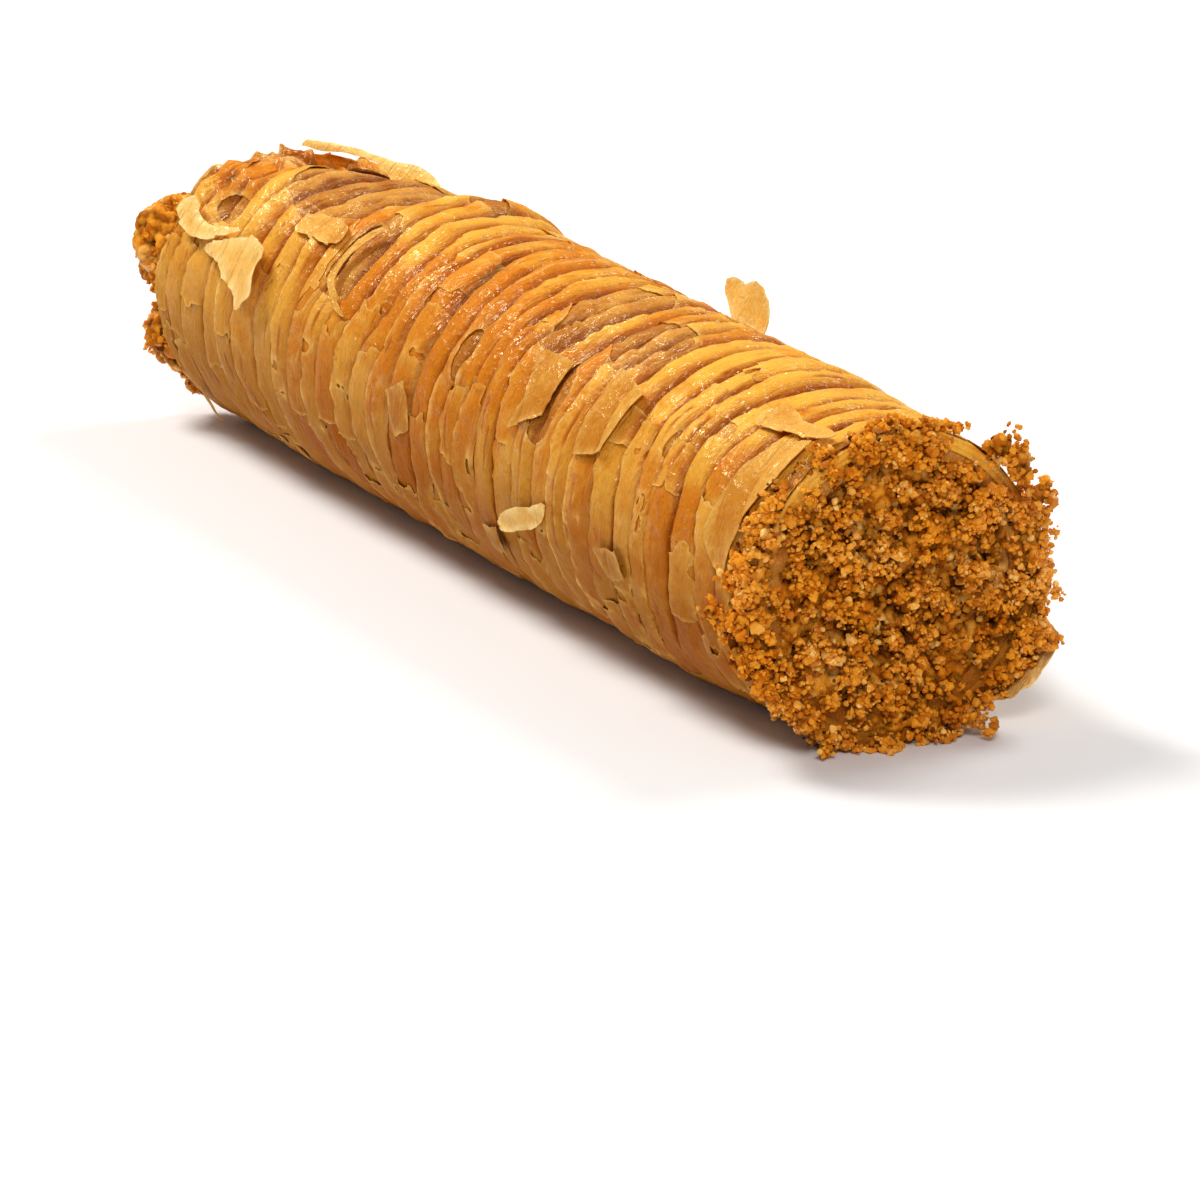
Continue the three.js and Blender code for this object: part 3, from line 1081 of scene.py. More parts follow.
    def build(self) -> None:
        """Makes the sheets and dresses them."""
        form = self.form
        core = PastryFinish(
            "browned_pastry",
            pale=linear(226, 156, 62),
            golden=linear(194, 116, 30),
            amber=linear(146, 72, 8),
            roughness=0.36,
            wetness=0.95,
            blistering=1.0,
        ).material()
        middle = PastryFinish("golden_pastry").material()
        outer = PastryFinish(
            "pale_pastry",
            pale=linear(243, 175, 62),
            golden=linear(224, 135, 26),
            amber=linear(184, 94, 8),
            paleness=0.65,
            roughness=0.46,
            wetness=0.55,
        ).material()
        place_piece("pleated_core", self.core(), core)
        half_way = (form.far_rim + form.near_rim) / 2
        far, near = (form.far_rim + self.end_inset, half_way), (half_way, form.near_rim - self.end_inset)
        for end, along in (("far", far), ("near", near)):
            for name, cover, stands, thickness, finish in (
                ("middle_sheet", self.middle_cover, 0.04, 0.08, middle),
                ("outer_scraps", self.outer_cover, 0.14, 0.05, outer),
            ):
                sheet = Sheet(form, cover, stands, thickness, along, lift=self.curled)
                place_piece(f"{name}_{end}", sheet.shape(), finish)
        for end, rim, out in (("far", form.far_rim, -1), ("near", form.near_rim, 1)):
            place_piece(f"rim_face_{end}", self.rim_face(rim, out), middle)


# ---- Loose flakes ----


class Held(Enum):
    """Where a loose flake is still held down. Up and down are as on the -Y side."""

    FAR = "far"
    NEAR = "near"
    ABOVE = "above"
    BELOW = "below"
    FLAT = "flat"


@dataclass(frozen=True)
class Flake:
    """A loose flake of pastry.

    Attributes:
        name: The piece's name.
        lift: How far its free edge stands off.
        held: Where it is held down.
        corners: The x and angle of each of its corners in turn.
        jag: How ragged its edge is.
        seed: Picks one of many such edges.
        rounds: How many times its corners are cut off.
        curl: How strongly it bends: 1 rises evenly, and more keeps down for longer and then bends up.
        light: Whether so thin that light shows through it, which is painted in as paler colour and a wider
            edge highlight.
    """

    name: str
    lift: float
    held: Held
    corners: tuple[float, ...]
    jag: float
    seed: int
    rounds: int = 1
    curl: float = 1.4
    light: bool = False

    def cover(self, form: RollForm) -> Cover:
        """Gives the function that says how far inside the outline a place is."""
        around = math.radians(form.radius)
        corners = np.reshape(self.corners, (-1, 2)) * (1, around)
        for _ in range(self.rounds):
            following = np.roll(corners, -1, axis=0)
            cut = table(0.78 * corners + 0.22 * following, 0.22 * corners + 0.78 * following)
            corners = cut.reshape(-1, 2)

        def inside(x: Array, angle: Array) -> Array:
            place = table(x, angle * around)
            nearest = np.full(len(x), np.inf)
            crossings = np.zeros(len(x), bool)
            for start, end in zip(corners, np.roll(corners, -1, axis=0), strict=True):
                side = end - start
                along = np.clip((place - start) @ side / (side @ side), 0, 1)
                nearest = np.minimum(nearest, np.linalg.norm(place - start - along[:, None] * side, axis=1))
                spans = (start[1] > place[:, 1]) != (end[1] > place[:, 1])
                height = side[1] if side[1] else 1e-9
                crossings ^= spans & (place[:, 0] < start[0] + (place[:, 1] - start[1]) * side[0] / height)
            signed = np.where(crossings, nearest, -nearest)
            return signed + self.jag * form.noise(x, angle, 0.9, 0.9, 300 + self.seed, 2)

        return inside

    def shape(self, form: RollForm) -> Shape:
        """Makes the flake as a closed thin body."""
        corners = np.reshape(self.corners, (-1, 2))
        (low_x, low_angle), (high_x, high_angle) = corners.min(axis=0), corners.max(axis=0)

        def rise(x: Array, angle: Array, inside: Array) -> Array:
            u = np.clip((x - low_x) / (high_x - low_x), 0, 1)
            v = np.clip((angle - low_angle) / (high_angle - low_angle), 0, 1)
            flat = np.exp(-inside / 0.6)
            free = {Held.FAR: u, Held.NEAR: 1 - u, Held.BELOW: 1 - v, Held.ABOVE: v, Held.FLAT: flat}
            uneven = (0.5 if self.light else 0.25) * form.noise(x, angle, 2.6, 2.6, 61, 2)
            return self.lift * free[self.held] ** self.curl + uneven * min(self.lift, 1.0) + 0.04

        return Sheet(
            form,
            self.cover(form),
            stands=0.3,
            thickness=0.1,
            along=(low_x - 1.0, high_x + 1.0),
            around=(low_angle - 4.0, high_angle + 4.0),
            cell=(0.28, 0.32),
            lift=rise,
            relief=0.3,
            # A wider painted highlight along the edge of a flake that light shows through.
            rim=0.9 if self.light else 0.5,
        ).shape()


# fmt: off
FLAKES = (
    Flake(
        "curled_flake", 1.7, Held.FAR,
        (-53, 67, -51.8, 63.5, -47.9, 60, -41.9, 54, -39.3, 54.5, -36.8, 58, -37.3, 64, -36, 70, -37.4, 75,
         -39.4, 80, -40.6, 74, -44, 72, -46.8, 67),
        0.06, 1, curl=0.7, light=True,
    ),
    Flake(
        "curled_rim", 1.1, Held.NEAR,
        (-59.3, 59, -59.7, 54, -58, 50.5, -56.3, 52, -56, 55.5, -53.7, 57.7, -50.3, 56.5, -47, 53.5,
         -46.7, 55, -49.5, 59.5, -52.1, 63.2, -55.9, 64),
        0.06, 2, curl=0.5, light=True,
    ),
    Flake(
        "torn_lip", 0.5, Held.NEAR,
        (-25.4, 28, -26.6, 41, -26.6, 50, -26, 56, -23.8, 61.5, -20, 65, -19.8, 63.5, -22.8, 60, -25, 55.5,
         -25.5, 50, -25.5, 41, -24.4, 28),
        0.05, 16, curl=0.6,
    ),
    Flake(
        "patch_flap", 0.1, Held.FLAT,
        (-37.4, 35, -33.6, 32.5, -29.5, 34, -28.6, 41, -31, 44.5, -34.5, 44, -37.4, 46), 0.25, 17,
    ),
    Flake("pale_strip_a", 0.16, Held.FLAT, (17.3, 42, 23, 41, 24, 62, 18.7, 72, 19.5, 60), 0.1, 3, 0),
    Flake("pale_strip_b", 0.2, Held.FLAT, (30.2, 35, 37.2, 40, 36.4, 65, 32, 69.5, 31, 52), 0.1, 4, 0),
    Flake(
        "lifted_flake", 1.8, Held.NEAR,
        (19.5, 102, 22.2, 95.5, 25, 94, 28, 89, 27.5, 96, 26, 100.5, 21.2, 105), 0.1, 5, light=True,
    ),
    Flake(
        "near_pleat_skin", 0.2, Held.FLAT,
        (57.3, 72, 58.3, 50, 60.6, 32, 63.6, 27, 64.2, 45, 62.6, 68, 62.4, 84, 59.5, 80), 0.1, 6, 0,
    ),
    Flake(
        "near_strap", 0.6, Held.FAR,
        (53.6, 31, 54, 19, 57, 18.5, 60, 22, 65.4, 20, 66, 24, 62, 28, 57, 30), 0.1, 7,
    ),
    Flake("yellow_flake", 0.5, Held.BELOW, (-6.5, 80, -3.2, 74, -1.5, 90, -5, 96), 0.25, 8, 0),
    Flake("far_side_flake_a", 1.4, Held.FAR, (31, -70, 40, -72, 41, -86, 37, -98, 32, -92), 0.35, 12, 0),
    Flake("far_side_flake_b", 1.1, Held.NEAR, (-19, -88, -10, -86, -9, -100, -17, -104), 0.35, 13, 0),
    Flake("small_flake_a", 0.5, Held.BELOW, (38.5, 95, 43, 92, 43.5, 102, 40, 106), 0.3, 14, 0),
    Flake("small_flake_b", 0.5, Held.FAR, (12, 113, 16, 110, 17, 118, 13, 122), 0.3, 15, 0),
    Flake("far_spike", 1.4, Held.ABOVE, (-57.9, 126, -56.8, 125, -57, 141, -57.3, 142), 0.04, 18, 0),
    Flake(
        "near_rim_flap", 1.7, Held.FAR,
        (57, -112, 62, -106, 68.8, -108, 69.4, -120, 68.6, -133, 65, -141, 59, -136),
        0.2, 19, curl=1.3, light=True,
    ),
)
# fmt: on


@dataclass(frozen=True)
class Ribbon:
    """A flake that stands on edge, away from the roll.

    Attributes:
        name: The piece's name.
        bend: How far it bends to either side, in degrees.
        stations: Its x, angle, and lower and upper distance from the axis at places along it, by rising x.
        thickness: How thick it is.
        columns: How many points its mesh has across it.
        light: Whether light shows through it, which is painted in as paler colour.
    """

    name: str
    bend: float
    stations: tuple[float, ...]
    thickness: float = 0.12
    columns: int = 9
    light: bool = True

    def shape(self, form: RollForm) -> Shape:
        """Makes the flake as a closed thin body."""
        known = np.reshape(self.stations, (-1, 4))
        count = round((known[-1, 0] - known[0, 0]) / 0.3) + 1
        x, height = grid(np.linspace(known[0, 0], known[-1, 0], count), np.linspace(0, 1, self.columns))
        angle, low, high = (np.interp(x, known[:, 0], known[:, column]) for column in (1, 2, 3))
        middle, half = (low + high) / 2, (high - low) / 2
        jag = 0.12 * form.noise(x, angle + 40 * height, 1.2, 2.0, 62, 2)
        radius = middle + half * (2 * height - 1) + jag * np.abs(2 * height - 1)
        bent = angle + self.bend * (form.noise(x, angle, 4, 3, 63) + 0.8 * height**2)
        aside = math.degrees(self.thickness / 2) / radius
        paint = pastry_paint(form, x, angle, half * (1 - np.abs(2 * height - 1)))
        paint["groove"] = paint["lip"] = np.zeros(len(x))
        sides = (form.points(x, bent + side * aside, radius) for side in (1, -1))
        return thin_body(*sides, grid_triangles(count, self.columns), paint)


# fmt: off
RIBBONS = (
    Ribbon("arched_strip", -3.0, (
        -62.5, -4.5, 13.6, 14.3, -59.6, -8.5, 13.75, 14.65, -56.3, -13.4, 14.15, 14.96,
        -53.7, -17.2, 14.45, 15.05, -51.6, -20.4, 14.4, 15.15, -49.9, -22.8, 13.8, 15.25,
        -48.9, -24.3, 12.9, 15.4, -47.5, -26.4, 12.6, 15.7, -45.2, -29.8, 12.8, 15.5,
        -42.9, -33.0, 13.4, 14.7, -41.5, -34.5, 13.8, 14.2,
    )),
    Ribbon("upright_flake", 1.0, (
        14.7, -33.4, 18.0, 18.8, 15.4, -33.4, 17.4, 19.3, 16.4, -33.4, 16.9, 19.4,
        17.7, -33.4, 16.2, 19.2, 18.5, -33.4, 15.8, 19.0, 19.2, -33.4, 15.5, 19.4,
        20.2, -33.4, 15.4, 19.8, 21.8, -33.4, 15.4, 19.5, 23.4, -33.4, 15.4, 18.8,
        24.8, -33.4, 15.4, 17.8, 25.6, -33.4, 15.4, 16.8,
    )),
)
# fmt: on


@dataclass
class LooseFlakes:
    """The flakes that stand off the roll."""

    form: RollForm

    def build(self) -> None:
        """Makes the flakes and dresses them."""
        usual = PastryFinish(
            "flake_pastry",
            pale=linear(230, 164, 66),
            golden=linear(208, 130, 30),
            amber=linear(190, 104, 16),
            deep=linear(160, 80, 8),
            paleness=0.6,
            wetness=0.5,
        ).material()
        # Painted light: the thin flakes are paler, with a lighter painted underside shade and a strong edge
        # highlight, for light shining through them.
        light = PastryFinish(
            "backlit_flake_pastry",
            pale=linear(250, 196, 98),
            golden=linear(236, 168, 64),
            amber=linear(222, 146, 46),
            deep=linear(206, 128, 34),
            rim=linear(255, 224, 150),
            underside_shade=linear(210, 138, 48),
            paleness=0.5,
            wetness=0.6,
            torn_edge_highlight=1.0,
        ).material()
        for flake in (*FLAKES, *RIBBONS):
            place_piece(flake.name, flake.shape(self.form), light if flake.light else usual)


# ---- The crumbed ends ----


def ball(subdivisions: int) -> tuple[Array, Array]:
    """Gives the points and triangles of a ball with a radius of 1."""
    mesh = bpy.data.meshes.new("ball")
    build = bmesh.new()
    bmesh.ops.create_icosphere(build, subdivisions=subdivisions, radius=1)
    build.to_mesh(mesh)
    build.free()
    points = np.array([vertex.co for vertex in mesh.vertices])
    triangles = np.array([face.vertices for face in mesh.polygons])
    bpy.data.meshes.remove(mesh)
    return points, triangles


def unit(vectors: Array) -> Array:
    """Scales vectors, which are rows, to a length of 1."""
    return vectors / np.linalg.norm(vectors, axis=1, keepdims=True)


@dataclass
class Clumps:
    """Clumps that crumbs stick together in.

    Attributes:
        places: Their middles.
        facing: Which way each faces, away from what it sticks to.
        sizes: Their radii.
        painted_shade: How deep in shadow each lies, painted as shade, from 0 to 1.
    """

    places: Array
    facing: Array
    sizes: Array
    painted_shade: Array

    def __add__(self, other: "Clumps") -> "Clumps":
        """Puts two sets of clumps together."""
        return Clumps(
            np.concatenate([self.places, other.places]),
            np.concatenate([self.facing, other.facing]),
            np.concatenate([self.sizes, other.sizes]),
            np.concatenate([self.painted_shade, other.painted_shade]),
        )

    def branched(self, share: float, random: np.random.Generator) -> "Clumps":
        """Grows a smaller clump out of a share of the clumps.

        Args:
            share: That share.
            random: Where the draws come from.

        Returns:
            The new, smaller clumps.
        """
        grows = random.random(len(self.places)) < share
        facing = unit(self.facing[grows] + 0.62 * random.normal(size=(int(grows.sum()), 3)))
        sizes = self.sizes[grows] * random.uniform(0.45, 0.7, int(grows.sum()))
        places = self.places[grows] + facing * (0.85 * self.sizes[grows] + 0.6 * sizes)[:, None]
        return Clumps(places, facing, np.maximum(sizes, 0.3), np.zeros(len(sizes)))


CRUMB_LIMITS = ((-71.6, -18.3, 0.2), (72.1, 18.8, 32.0))
FLOOR_GAP = 0.02


@dataclass(frozen=True)
class CrumbKind:
    """A kind of crumb: how many there are, how large, how finely made and how rough."""

    name: str
    count: int
    smallest: float
    largest: float
    subdivisions: int
    roughness: float

    def shape(self, clumps: Clumps, random: np.random.Generator) -> Shape:
        """Makes the crumbs on the clumps, as one shape.

        Args:
            clumps: The clumps.
            random: Where the draws come from.
        """
        count = self.count
        chance = clumps.sizes**2
        pick = random.choice(len(chance), count, p=chance / chance.sum())
        facing = clumps.facing[pick]
        outward = unit(random.normal(size=(count, 3)) + 1.1 * facing)
        off = clumps.sizes[pick] * random.uniform(0.72, 1.05, count)
        places = np.clip(clumps.places[pick] + outward * off[:, None], *CRUMB_LIMITS)
        # Painted shade: crumbs that face back into their clump get more.
        turned_in = 0.4 - np.sum(outward * facing, axis=1)
        painted_shade = np.clip(clumps.painted_shade[pick] + 0.7 * turned_in, 0, 1)

        points, faces = ball(self.subdivisions)
        size = (self.smallest + (self.largest - self.smallest) * random.random(count) ** 1.7) / 2
        stretch = random.uniform(0.7, 1.25, (count, 1, 3))
        rough = 1 + self.roughness * random.uniform(-1, 1, (count, len(points), 1))
        local = points[None] * rough * stretch * size[:, None, None]
        w, x, y, z = unit(random.normal(size=(count, 4))).T
        turned = table(
            table(1 - 2 * (y * y + z * z), 2 * (x * y - z * w), 2 * (x * z + y * w)),
            table(2 * (x * y + z * w), 1 - 2 * (x * x + z * z), 2 * (y * z - x * w)),
            table(2 * (x * z - y * w), 2 * (y * z + x * w), 1 - 2 * (x * x + y * y)),
        )
        corners = np.einsum("nij,nkj->nki", turned, local) + places[:, None]
        corners[..., 2] = np.maximum(corners[..., 2], FLOOR_GAP)
        triangles = faces[None] + (np.arange(count) * len(points))[:, None, None]
        clump_tone = random.normal(0.0, 0.16, len(chance))[pick]
        tone = np.repeat(random.normal(0.5, 0.2, count) + clump_tone, len(points))
        paint = {"tone": tone, "painted_shade": np.repeat(painted_shade, len(points))}
        return Shape(corners.reshape(-1, 3), triangles.reshape(-1, 3), paint)


def crumb_kinds(grit: int, small: int, large: int) -> tuple[CrumbKind, ...]:
    """Gives the kinds of crumb, from how many there are of each."""
    return (
        CrumbKind("grit", grit, 0.3, 0.55, 1, 0.3),
        CrumbKind("small_crumbs", small, 0.45, 0.85, 1, 0.3),
        CrumbKind("large_crumbs", large, 0.75, 1.15, 2, 0.28),
    )


@dataclass(frozen=True)
class Hollow:
    """A hollow in the crumbs, `across` towards -Y and `up` from the axis. A negative depth is a lump."""

    across: float
    up: float
    size: float
    deep: float


@dataclass(frozen=True)
class Clod:
    """A lump of crumbs that hangs on to the end of the roll, as a ball, and how finely it is made."""

    x: float
    angle: float
    radius: float
    size: float
    fineness: int = 6


@dataclass
class CrumbedEnd:
    """The crumbs stuck to one end of the roll.

    Attributes:
        rim: Where the pastry's end is.
        out: 1 at the +X end and -1 at the other.
        heap: How far the crumbs stand off the rim where nothing more is said.
        lumps: How uneven that is.
        edge: How far out from the axis they reach at each angle.
        cuff: How far they reach back along the outside at each angle.
        hollows: Hollows and lumps in them.
        clods: Lumps that hang on.
        kinds: The kinds of crumb.
        seed: Where the draws start.
        fineness: How many points a ring of the mass's mesh has.
        branching: The share of the clumps that smaller ones grow out of.
        spacing: How far apart the clumps of the face are.
        border_count: How many clumps lie round the face's edge.
        cuff_count: How many places on the outside are tried for a clump.
        bed_spacing: How far apart the clumps under the others are.
        bed_depth: How deep those lie.
        small_clod: The size up to which a clod has crumbs all round.
    """

    name: str
    form: RollForm
    rim: float
    out: int
    heap: float
    lumps: float
    edge: Callable[[Array], Array]
    cuff: Callable[[Array], Array]
    hollows: tuple[Hollow, ...]
    clods: tuple[Clod, ...]
    kinds: tuple[CrumbKind, ...]
    seed: int
    fineness: int = 320
    branching: float = 0.55
    spacing: float = 2.1
    border_count: int = 180
    cuff_count: int = 900
    bed_spacing: float = 1.15
    bed_depth: float = 1.25
    small_clod: float = 2.0

    def stand(self, across: Array, up: Array) -> Array:
        """Gives how far the heap stands off the rim."""
        radius = np.hypot(across, up)
        flat = table(across, up, np.full(len(across), 0.5 + self.seed))
        height = self.heap + self.lumps * (noise(flat / 4.6, 71, 2) + 0.5 * noise(flat / 1.9, 72))
        for hollow in self.hollows:
            away = np.hypot(across - hollow.across, up - hollow.up) / hollow.size
            height = height - hollow.deep * (1 - smooth(0.2, 1.15, away))
        edge = self.edge(np.degrees(np.arctan2(across, up)))
        return height - 0.6 * smooth(-2.2, 0.3, radius - edge)

    def face(self, radius: Array, angle: Array, off: Array | float = 0.0) -> Array:
        """Gives points on the heap's face, or `off` it."""
        stand = self.stand(*across_up(radius, angle))
        return self.form.points(self.rim + self.out * (stand + off), angle, radius)

    def outside(self, back: Array, angle: Array, off: Array | float = 0.0) -> Array:
        """Gives points on the outside, at a share of the cuff's width back from the rim."""
        x = self.rim - self.out * back * self.cuff(angle)
        return self.form.points(x, angle, self.form.crest_radius(x, angle) + off)

    def mass(self) -> Shape:
        """Makes the grainy mass under the loose crumbs, as closed bodies."""
        columns = self.fineness
        angle = full_turn(columns)
        edge = np.minimum(self.edge(angle), self.form.radius - 1.0)
        rings, paints = [], []
        for share in (0.01, *np.linspace(0.02, 0.985, columns // 4)):
            flat = table(*across_up(share * edge, angle), 0 * angle)
            height, own = grains(flat / 0.75, 77)
            coarse, _ = grains(flat / 2.1, 83)
            rings.append(self.face(edge * share, angle, -1.9 + 0.6 * height + 0.9 * coarse))
            # Painted shade between the grains.
            paints.append((own, np.clip(1.25 - 0.8 * height - 0.4 * coarse, 0, 1)))
        for share, depth in ((0.985, 3.4), (0.8, 3.6), (0.01, 3.6)):
            x = np.full(columns, self.rim - self.out * depth)
            rings.append(self.form.points(x, angle, edge * share))
            # The hidden inner rings are fully in painted shade.
            paints.append((0 * angle, 0 * angle + 1))
        points = np.concatenate([*rings, *([ring.mean(axis=0)] for ring in (rings[0], rings[-1]))])
        rim = np.arange(columns)
        following = (rim + 1) % columns
        last = (len(rings) - 1) * columns
        middle = np.full(columns, len(points) - 2)
        caps = (table(following, rim, middle), table(last + rim, last + following, middle + 1))
        triangles = np.concatenate([ring_triangles(len(rings), columns), *caps])
        own, painted_shade = (np.concatenate([*values, [0.5, 1.0]]) for values in zip(*paints, strict=True))
        face = Shape(points, triangles[:, ::-1] if self.out > 0 else triangles, {"tone": own, "painted_shade": painted_shade})
        return joined([face] + [self.clod_mass(clod) for clod in self.clods])

    def middle_of(self, clod: Clod) -> Array:
        """Gives a clod's middle."""
        return self.form.points(np.array([clod.x]), np.array([clod.angle]), np.array([clod.radius]))

    def clod_mass(self, clod: Clod) -> Shape:
        """Makes the grainy middle of a clod."""
        points, triangles = ball(clod.fineness)
        height, own = grains(points * clod.size / 0.8 + 50, 78)
        coarse, _ = grains(points * clod.size / 2.2 + 50, 84)
        rough = 0.84 + 0.24 * noise(points * 1.5 + clod.angle, 76, 2)
        relief = min(clod.size / 4, 1)
        reach = clod.size * (rough - 0.3 * (1 - relief)) + relief * (0.5 * height + 0.8 * coarse - 0.7)
        placed = points * reach[:, None] + self.middle_of(clod)
        placed[:, 2] = np.maximum(placed[:, 2], FLOOR_GAP)
        # Painted shade between the grains.
        painted_shade = np.clip(1.2 - 0.8 * height - 0.4 * coarse, 0, 1)
        return Shape(placed, triangles, {"tone": own, "painted_shade": painted_shade})

    def leaning(self, forward: float, tilt: Array | float, angle: Array) -> Array:
        """Gives directions that point `forward` out of the end and tilt away from the axis."""
        across, up = across_up(tilt, angle)
        return unit(table(np.full(len(angle), forward * self.out), -across, up))

    def clumps(self, random: np.random.Generator) -> Clumps:
        """Spreads clumps over the face, the cuff and the clods, and grows smaller ones out of them."""

        def scattered(reach: float, spacing: float, jitter: float) -> tuple[Array, Array]:
            up, across = grid(np.arange(-reach, reach, spacing), np.arange(-reach, reach, spacing))
            across, up = (values + random.normal(0, jitter, len(values)) for values in (across, up))
            return np.hypot(across, up), np.degrees(np.arctan2(across, up))

        radius, angle = scattered(20, self.spacing, 0.35 * self.spacing)
        sizes = random.uniform(0.8, 1.65, len(radius))
        kept = radius + 0.5 * sizes < self.edge(angle)
        radius, angle, sizes = radius[kept], angle[kept], sizes[kept]
        off = random.uniform(-1.3, 0.8, len(radius))
        facing = self.leaning(1.0, 0.9 * smooth(-3, 0, radius - self.edge(angle)), angle)
        # Painted shade on clumps that lie low in the heap.
        low = self.stand(*across_up(radius, angle)) + off - self.heap
        face = Clumps(self.face(radius, angle, off), facing, sizes, smooth(0.5, -2.0, low) * 0.75)

        count = self.border_count
        angle = random.uniform(-180, 180, count)
        radius = self.edge(angle) - random.uniform(0.3, 3.0, count)
        places = self.face(radius, angle, random.uniform(-0.6, 0.3, count))
        sizes = random.uniform(0.5, 1.0, count)
        border = Clumps(places, self.leaning(1.0, 0.8, angle), sizes, np.zeros(count))

        count = self.cuff_count
        angle = random.uniform(-180, 180, count)
        back = random.random(count)
        width = self.cuff(angle)
        kept = random.random(count) < np.where(width > 0.3, width / 5 * (1 - back**3), 0)
        angle, back = angle[kept], back[kept]
        sizes = random.uniform(0.5, 1.05, len(angle)) * (1 - 0.4 * back)
        facing = self.leaning(0.4, 1.0, angle)
        cuff = Clumps(self.outside(back, angle, -0.1), facing, sizes, np.zeros(len(angle)))

        radius, angle = scattered(17, self.bed_spacing, 0.3)
        kept = radius + 0.4 < self.edge(angle)
        radius, angle = radius[kept], angle[kept]
        # The bed under the other clumps is half in painted shade.
        sizes, painted_shade = np.full(len(radius), 0.6), np.full(len(radius), 0.55)
        bed = Clumps(self.face(radius, angle, -self.bed_depth), self.leaning(1.0, 0.0, angle), sizes, painted_shade)

        every = face + cuff + border
        for clod in self.clods:
            count = round(4.0 * clod.size**2)
            facing = unit(random.normal(size=(count, 3)))
            places = self.middle_of(clod) + facing * clod.size * random.uniform(0.6, 0.79, (count, 1))
            free = ((places[:, 0] - self.rim) * self.out > -0.4) | (clod.size <= self.small_clod)
            sizes = random.uniform(0.7, 1.3, count) * min(1.0, 0.5 + clod.size / 4)
            painted_shade = random.uniform(0, 0.3, count)
            every = every + Clumps(places[free], facing[free], sizes[free], painted_shade[free])
        first = every.branched(self.branching, random)
        return every + first + first.branched(0.8 * self.branching, random) + bed

    def build(self, material: bpy.types.Material) -> None:
        """Makes the end and dresses it."""
        random = np.random.default_rng(self.seed)
        clumps = self.clumps(random)
        place_piece(f"{self.name}_mass", self.mass(), material, Slot.CRUMBS, Node.CRUMBED_FILLING)
        for kind in self.kinds:
            shape = kind.shape(clumps, random)
            place_piece(
                f"{self.name}_{kind.name}", shape, material, Slot.CRUMBS, Node.CRUMBED_FILLING, CRUMB_SHARP
            )


def bump_at(angle: Array, middle: float, spread: float) -> Array:
    """Gives 1 at an angle and 0 further from it than `spread` degrees."""
    return 1 - smooth(0.25, 1.0, np.abs(turn(middle, angle)) / spread)


def near_cuff(angle: Array) -> Array:
    """Gives how far the near end's crumbs reach back along the outside at each angle."""
    shown, hidden = bump_at(angle, 92, 48), 0.7 * bump_at(angle, -100, 66)
    return 0.5 + 4.9 * np.maximum(shown, hidden) * (1 + 0.5 * rim_noise(angle, 9, (5, 2), 74))


def near_edge(angle: Array) -> Array:
    """Gives how far out the near end's crumbs reach at each angle."""
    inset = 3.2 * bump_at(angle, -42, 36) + 0.9 * bump_at(angle, -92, 26) + 1.0 * bump_at(angle, 5, 45)
    return 16.4 + 0.35 * rim_noise(angle, 8, (1, 6), 75) - inset


def far_cuff(angle: Array) -> Array:
    """Gives how far the far end's crumbs reach back along the outside at each angle: hardly at all."""
    return np.full(np.shape(angle), 0.15)


def far_edge(angle: Array) -> Array:
    """Gives how far out the far end's crumbs reach at each angle."""
    return 14.4 + 1.2 * bump_at(angle, 68, 28) + 1.5 * bump_at(angle, 125, 36) - 2.6 * bump_at(angle, 5, 60)


def crumbed_ends(form: RollForm) -> tuple[CrumbedEnd, CrumbedEnd]:
    """Gives the near and the far end as the photograph shows them."""
    near = CrumbedEnd(
        name="near_end",
        form=form,
        rim=form.near_rim,
        out=1,
        heap=0.5,
        lumps=1.05,
        edge=near_edge,
        cuff=near_cuff,
        hollows=(
            Hollow(-9.9, 0.3, 2.6, 1.6),
            Hollow(-9.9, 4.8, 1.6, 1.2),
            Hollow(2.4, -6.9, 2.6, 1.8),
            Hollow(10.9, -0.6, 1.5, 1.0),
            Hollow(-3.6, -4.2, 1.7, 1.0),
            Hollow(6.9, -7.4, 3.4, -0.9),
            Hollow(7.4, 11.3, 3.0, -0.5),
            Hollow(-1.2, 4.2, 3.0, -0.4),
            Hollow(-12.4, 5.4, 2.4, -0.4),
        ),
        clods=(
            Clod(68.4, -38, 16.0, 1.3, 3),
            Clod(69.0, -47, 15.8, 1.4, 3),
            Clod(68.8, -62, 15.9, 1.3, 3),
            Clod(68.6, -113, 16.4, 1.2, 3),
            Clod(61.4, 96, 16.4, 0.9, 3),
        ),
        kinds=crumb_kinds(7600, 6900, 330),
        seed=7,
    )
    far = CrumbedEnd(
        name="far_end",
        form=form,
        rim=form.far_rim,
        out=-1,
        heap=2.3,
        lumps=1.5,
        edge=far_edge,
        cuff=far_cuff,
        hollows=(Hollow(0, 14, 9, 4.6), Hollow(-3, -2, 9, -2.2), Hollow(8, -1, 7, -1.6)),
        clods=(
            Clod(-65.6, 72, 11.6, 5.8),
            Clod(-64.4, 115, 12.2, 5.0),
            Clod(-64.4, 137, 13.4, 2.9, 5),
            Clod(-65.3, -56, 9.5, 3.4, 5),
            Clod(-65.0, -132, 10.5, 3.0, 5),
        ),
        kinds=crumb_kinds(3900, 3800, 190),
        seed=8,
        fineness=200,
        branching=0.14,
        spacing=2.5,
    )
    return near, far


# ---- Camera, light and floor ----


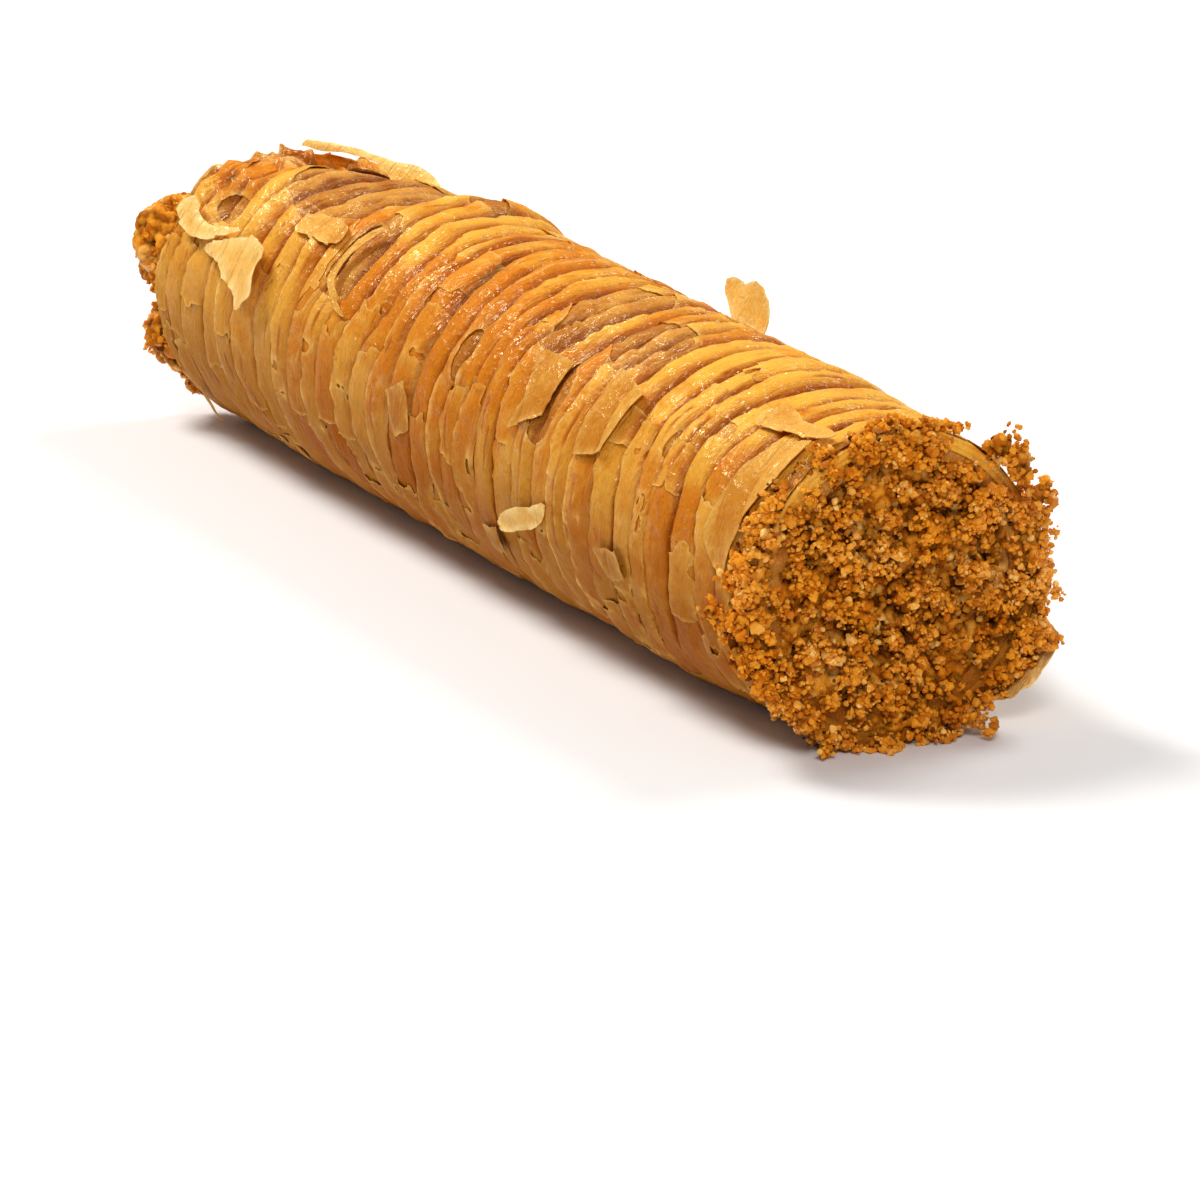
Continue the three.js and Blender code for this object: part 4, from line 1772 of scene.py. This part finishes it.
@dataclass(frozen=True)
class PhotoCamera:
    """The camera, where the photograph was taken from."""

    azimuth: float = 62.79
    elevation: float = 16.773
    distance: float = 768.0
    right: float = 1.877
    up: float = -17.388
    lens: float = 235.5
    aim_x: float = 3.75

    def build(self, axis_height: float) -> None:
        """Makes the camera."""
        turned, tilt = math.radians(self.azimuth), math.radians(self.elevation)
        level = math.cos(tilt)
        back = Vector((math.sin(turned) * level, -math.cos(turned) * level, math.sin(tilt)))
        right = (-back).cross(Vector((0, 0, 1))).normalized()
        up = right.cross(-back)
        aim = Vector((self.aim_x, 0, axis_height))
        place = aim + back * self.distance + right * self.right + up * self.up
        data = bpy.data.cameras.new("camera")
        data.lens, data.sensor_width = self.lens, 36.0
        data.clip_start, data.clip_end = 0.05, 20.0
        camera = bpy.data.objects.new("camera", data)
        facing = Matrix((right, up, back)).transposed().to_4x4()
        camera.matrix_world = Matrix.Translation(place * MM) @ facing
        bpy.context.scene.collection.objects.link(camera)
        bpy.context.scene.camera = camera


@dataclass(frozen=True)
class SoftLight:
    """A square lamp that points at the roll, in metres and watts."""

    name: str
    place: tuple[float, float, float]
    size: float
    power: float
    colour: Colour = (1.0, 1.0, 1.0)

    def build(self) -> None:
        """Makes the lamp."""
        data = bpy.data.lights.new(self.name, "AREA")
        data.size, data.energy, data.color = self.size, self.power, self.colour
        lamp = bpy.data.objects.new(self.name, data)
        lamp.location = self.place
        lamp.rotation_mode = "QUATERNION"
        lamp.rotation_quaternion = (Vector((0, 0, 0.01)) - Vector(self.place)).to_track_quat("-Z", "Y")
        bpy.context.scene.collection.objects.link(lamp)


@dataclass
class Studio:
    """The pale floor, the soft light and the camera."""

    form: RollForm
    floor_size: float = 8.0
    sky: float = 0.24

    def build(self) -> None:
        """Makes the studio."""
        half = self.floor_size / 2
        mesh = bpy.data.meshes.new("floor")
        corners = [(-half, -half, 0), (half, -half, 0), (half, half, 0), (-half, half, 0)]
        mesh.from_pydata(corners, [], [(0, 1, 2, 3)])
        floor = bpy.data.objects.new("floor", mesh)
        bpy.context.scene.collection.objects.link(floor)
        mesh.materials.append(FloorFinish().material())
        world = bpy.data.worlds.new("studio")
        world.use_nodes = True
        world.node_tree.nodes["Background"].inputs["Color"].default_value = (1, 1, 1, 1)
        world.node_tree.nodes["Background"].inputs["Strength"].default_value = self.sky
        bpy.context.scene.world = world
        bpy.context.scene.view_settings.view_transform = "Standard"
        SoftLight("key", (-0.5, -0.3, 0.8), 0.32, 8.0, (1.0, 0.98, 0.95)).build()
        SoftLight("back", (-0.1, 0.55, 0.7), 0.3, 3.6).build()
        SoftLight("front", (0.75, -0.3, 0.65), 0.3, 4.4).build()
        PhotoCamera().build(self.form.axis_height)


def main() -> None:
    """Builds the roll and its studio."""
    logging.basicConfig(level=logging.INFO, format="%(message)s")
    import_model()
    low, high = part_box(Node.PASTRY.value)
    form = RollForm(far_rim=low.x / MM, near_rim=high.x / MM)
    Studio(form).build()
    PastrySheets(form).build()
    LooseFlakes(form).build()
    crumbs = CrumbFinish("crumbs").material()
    for end in crumbed_ends(form):
        end.build(crumbs)


if __name__ == "__main__":
    main()
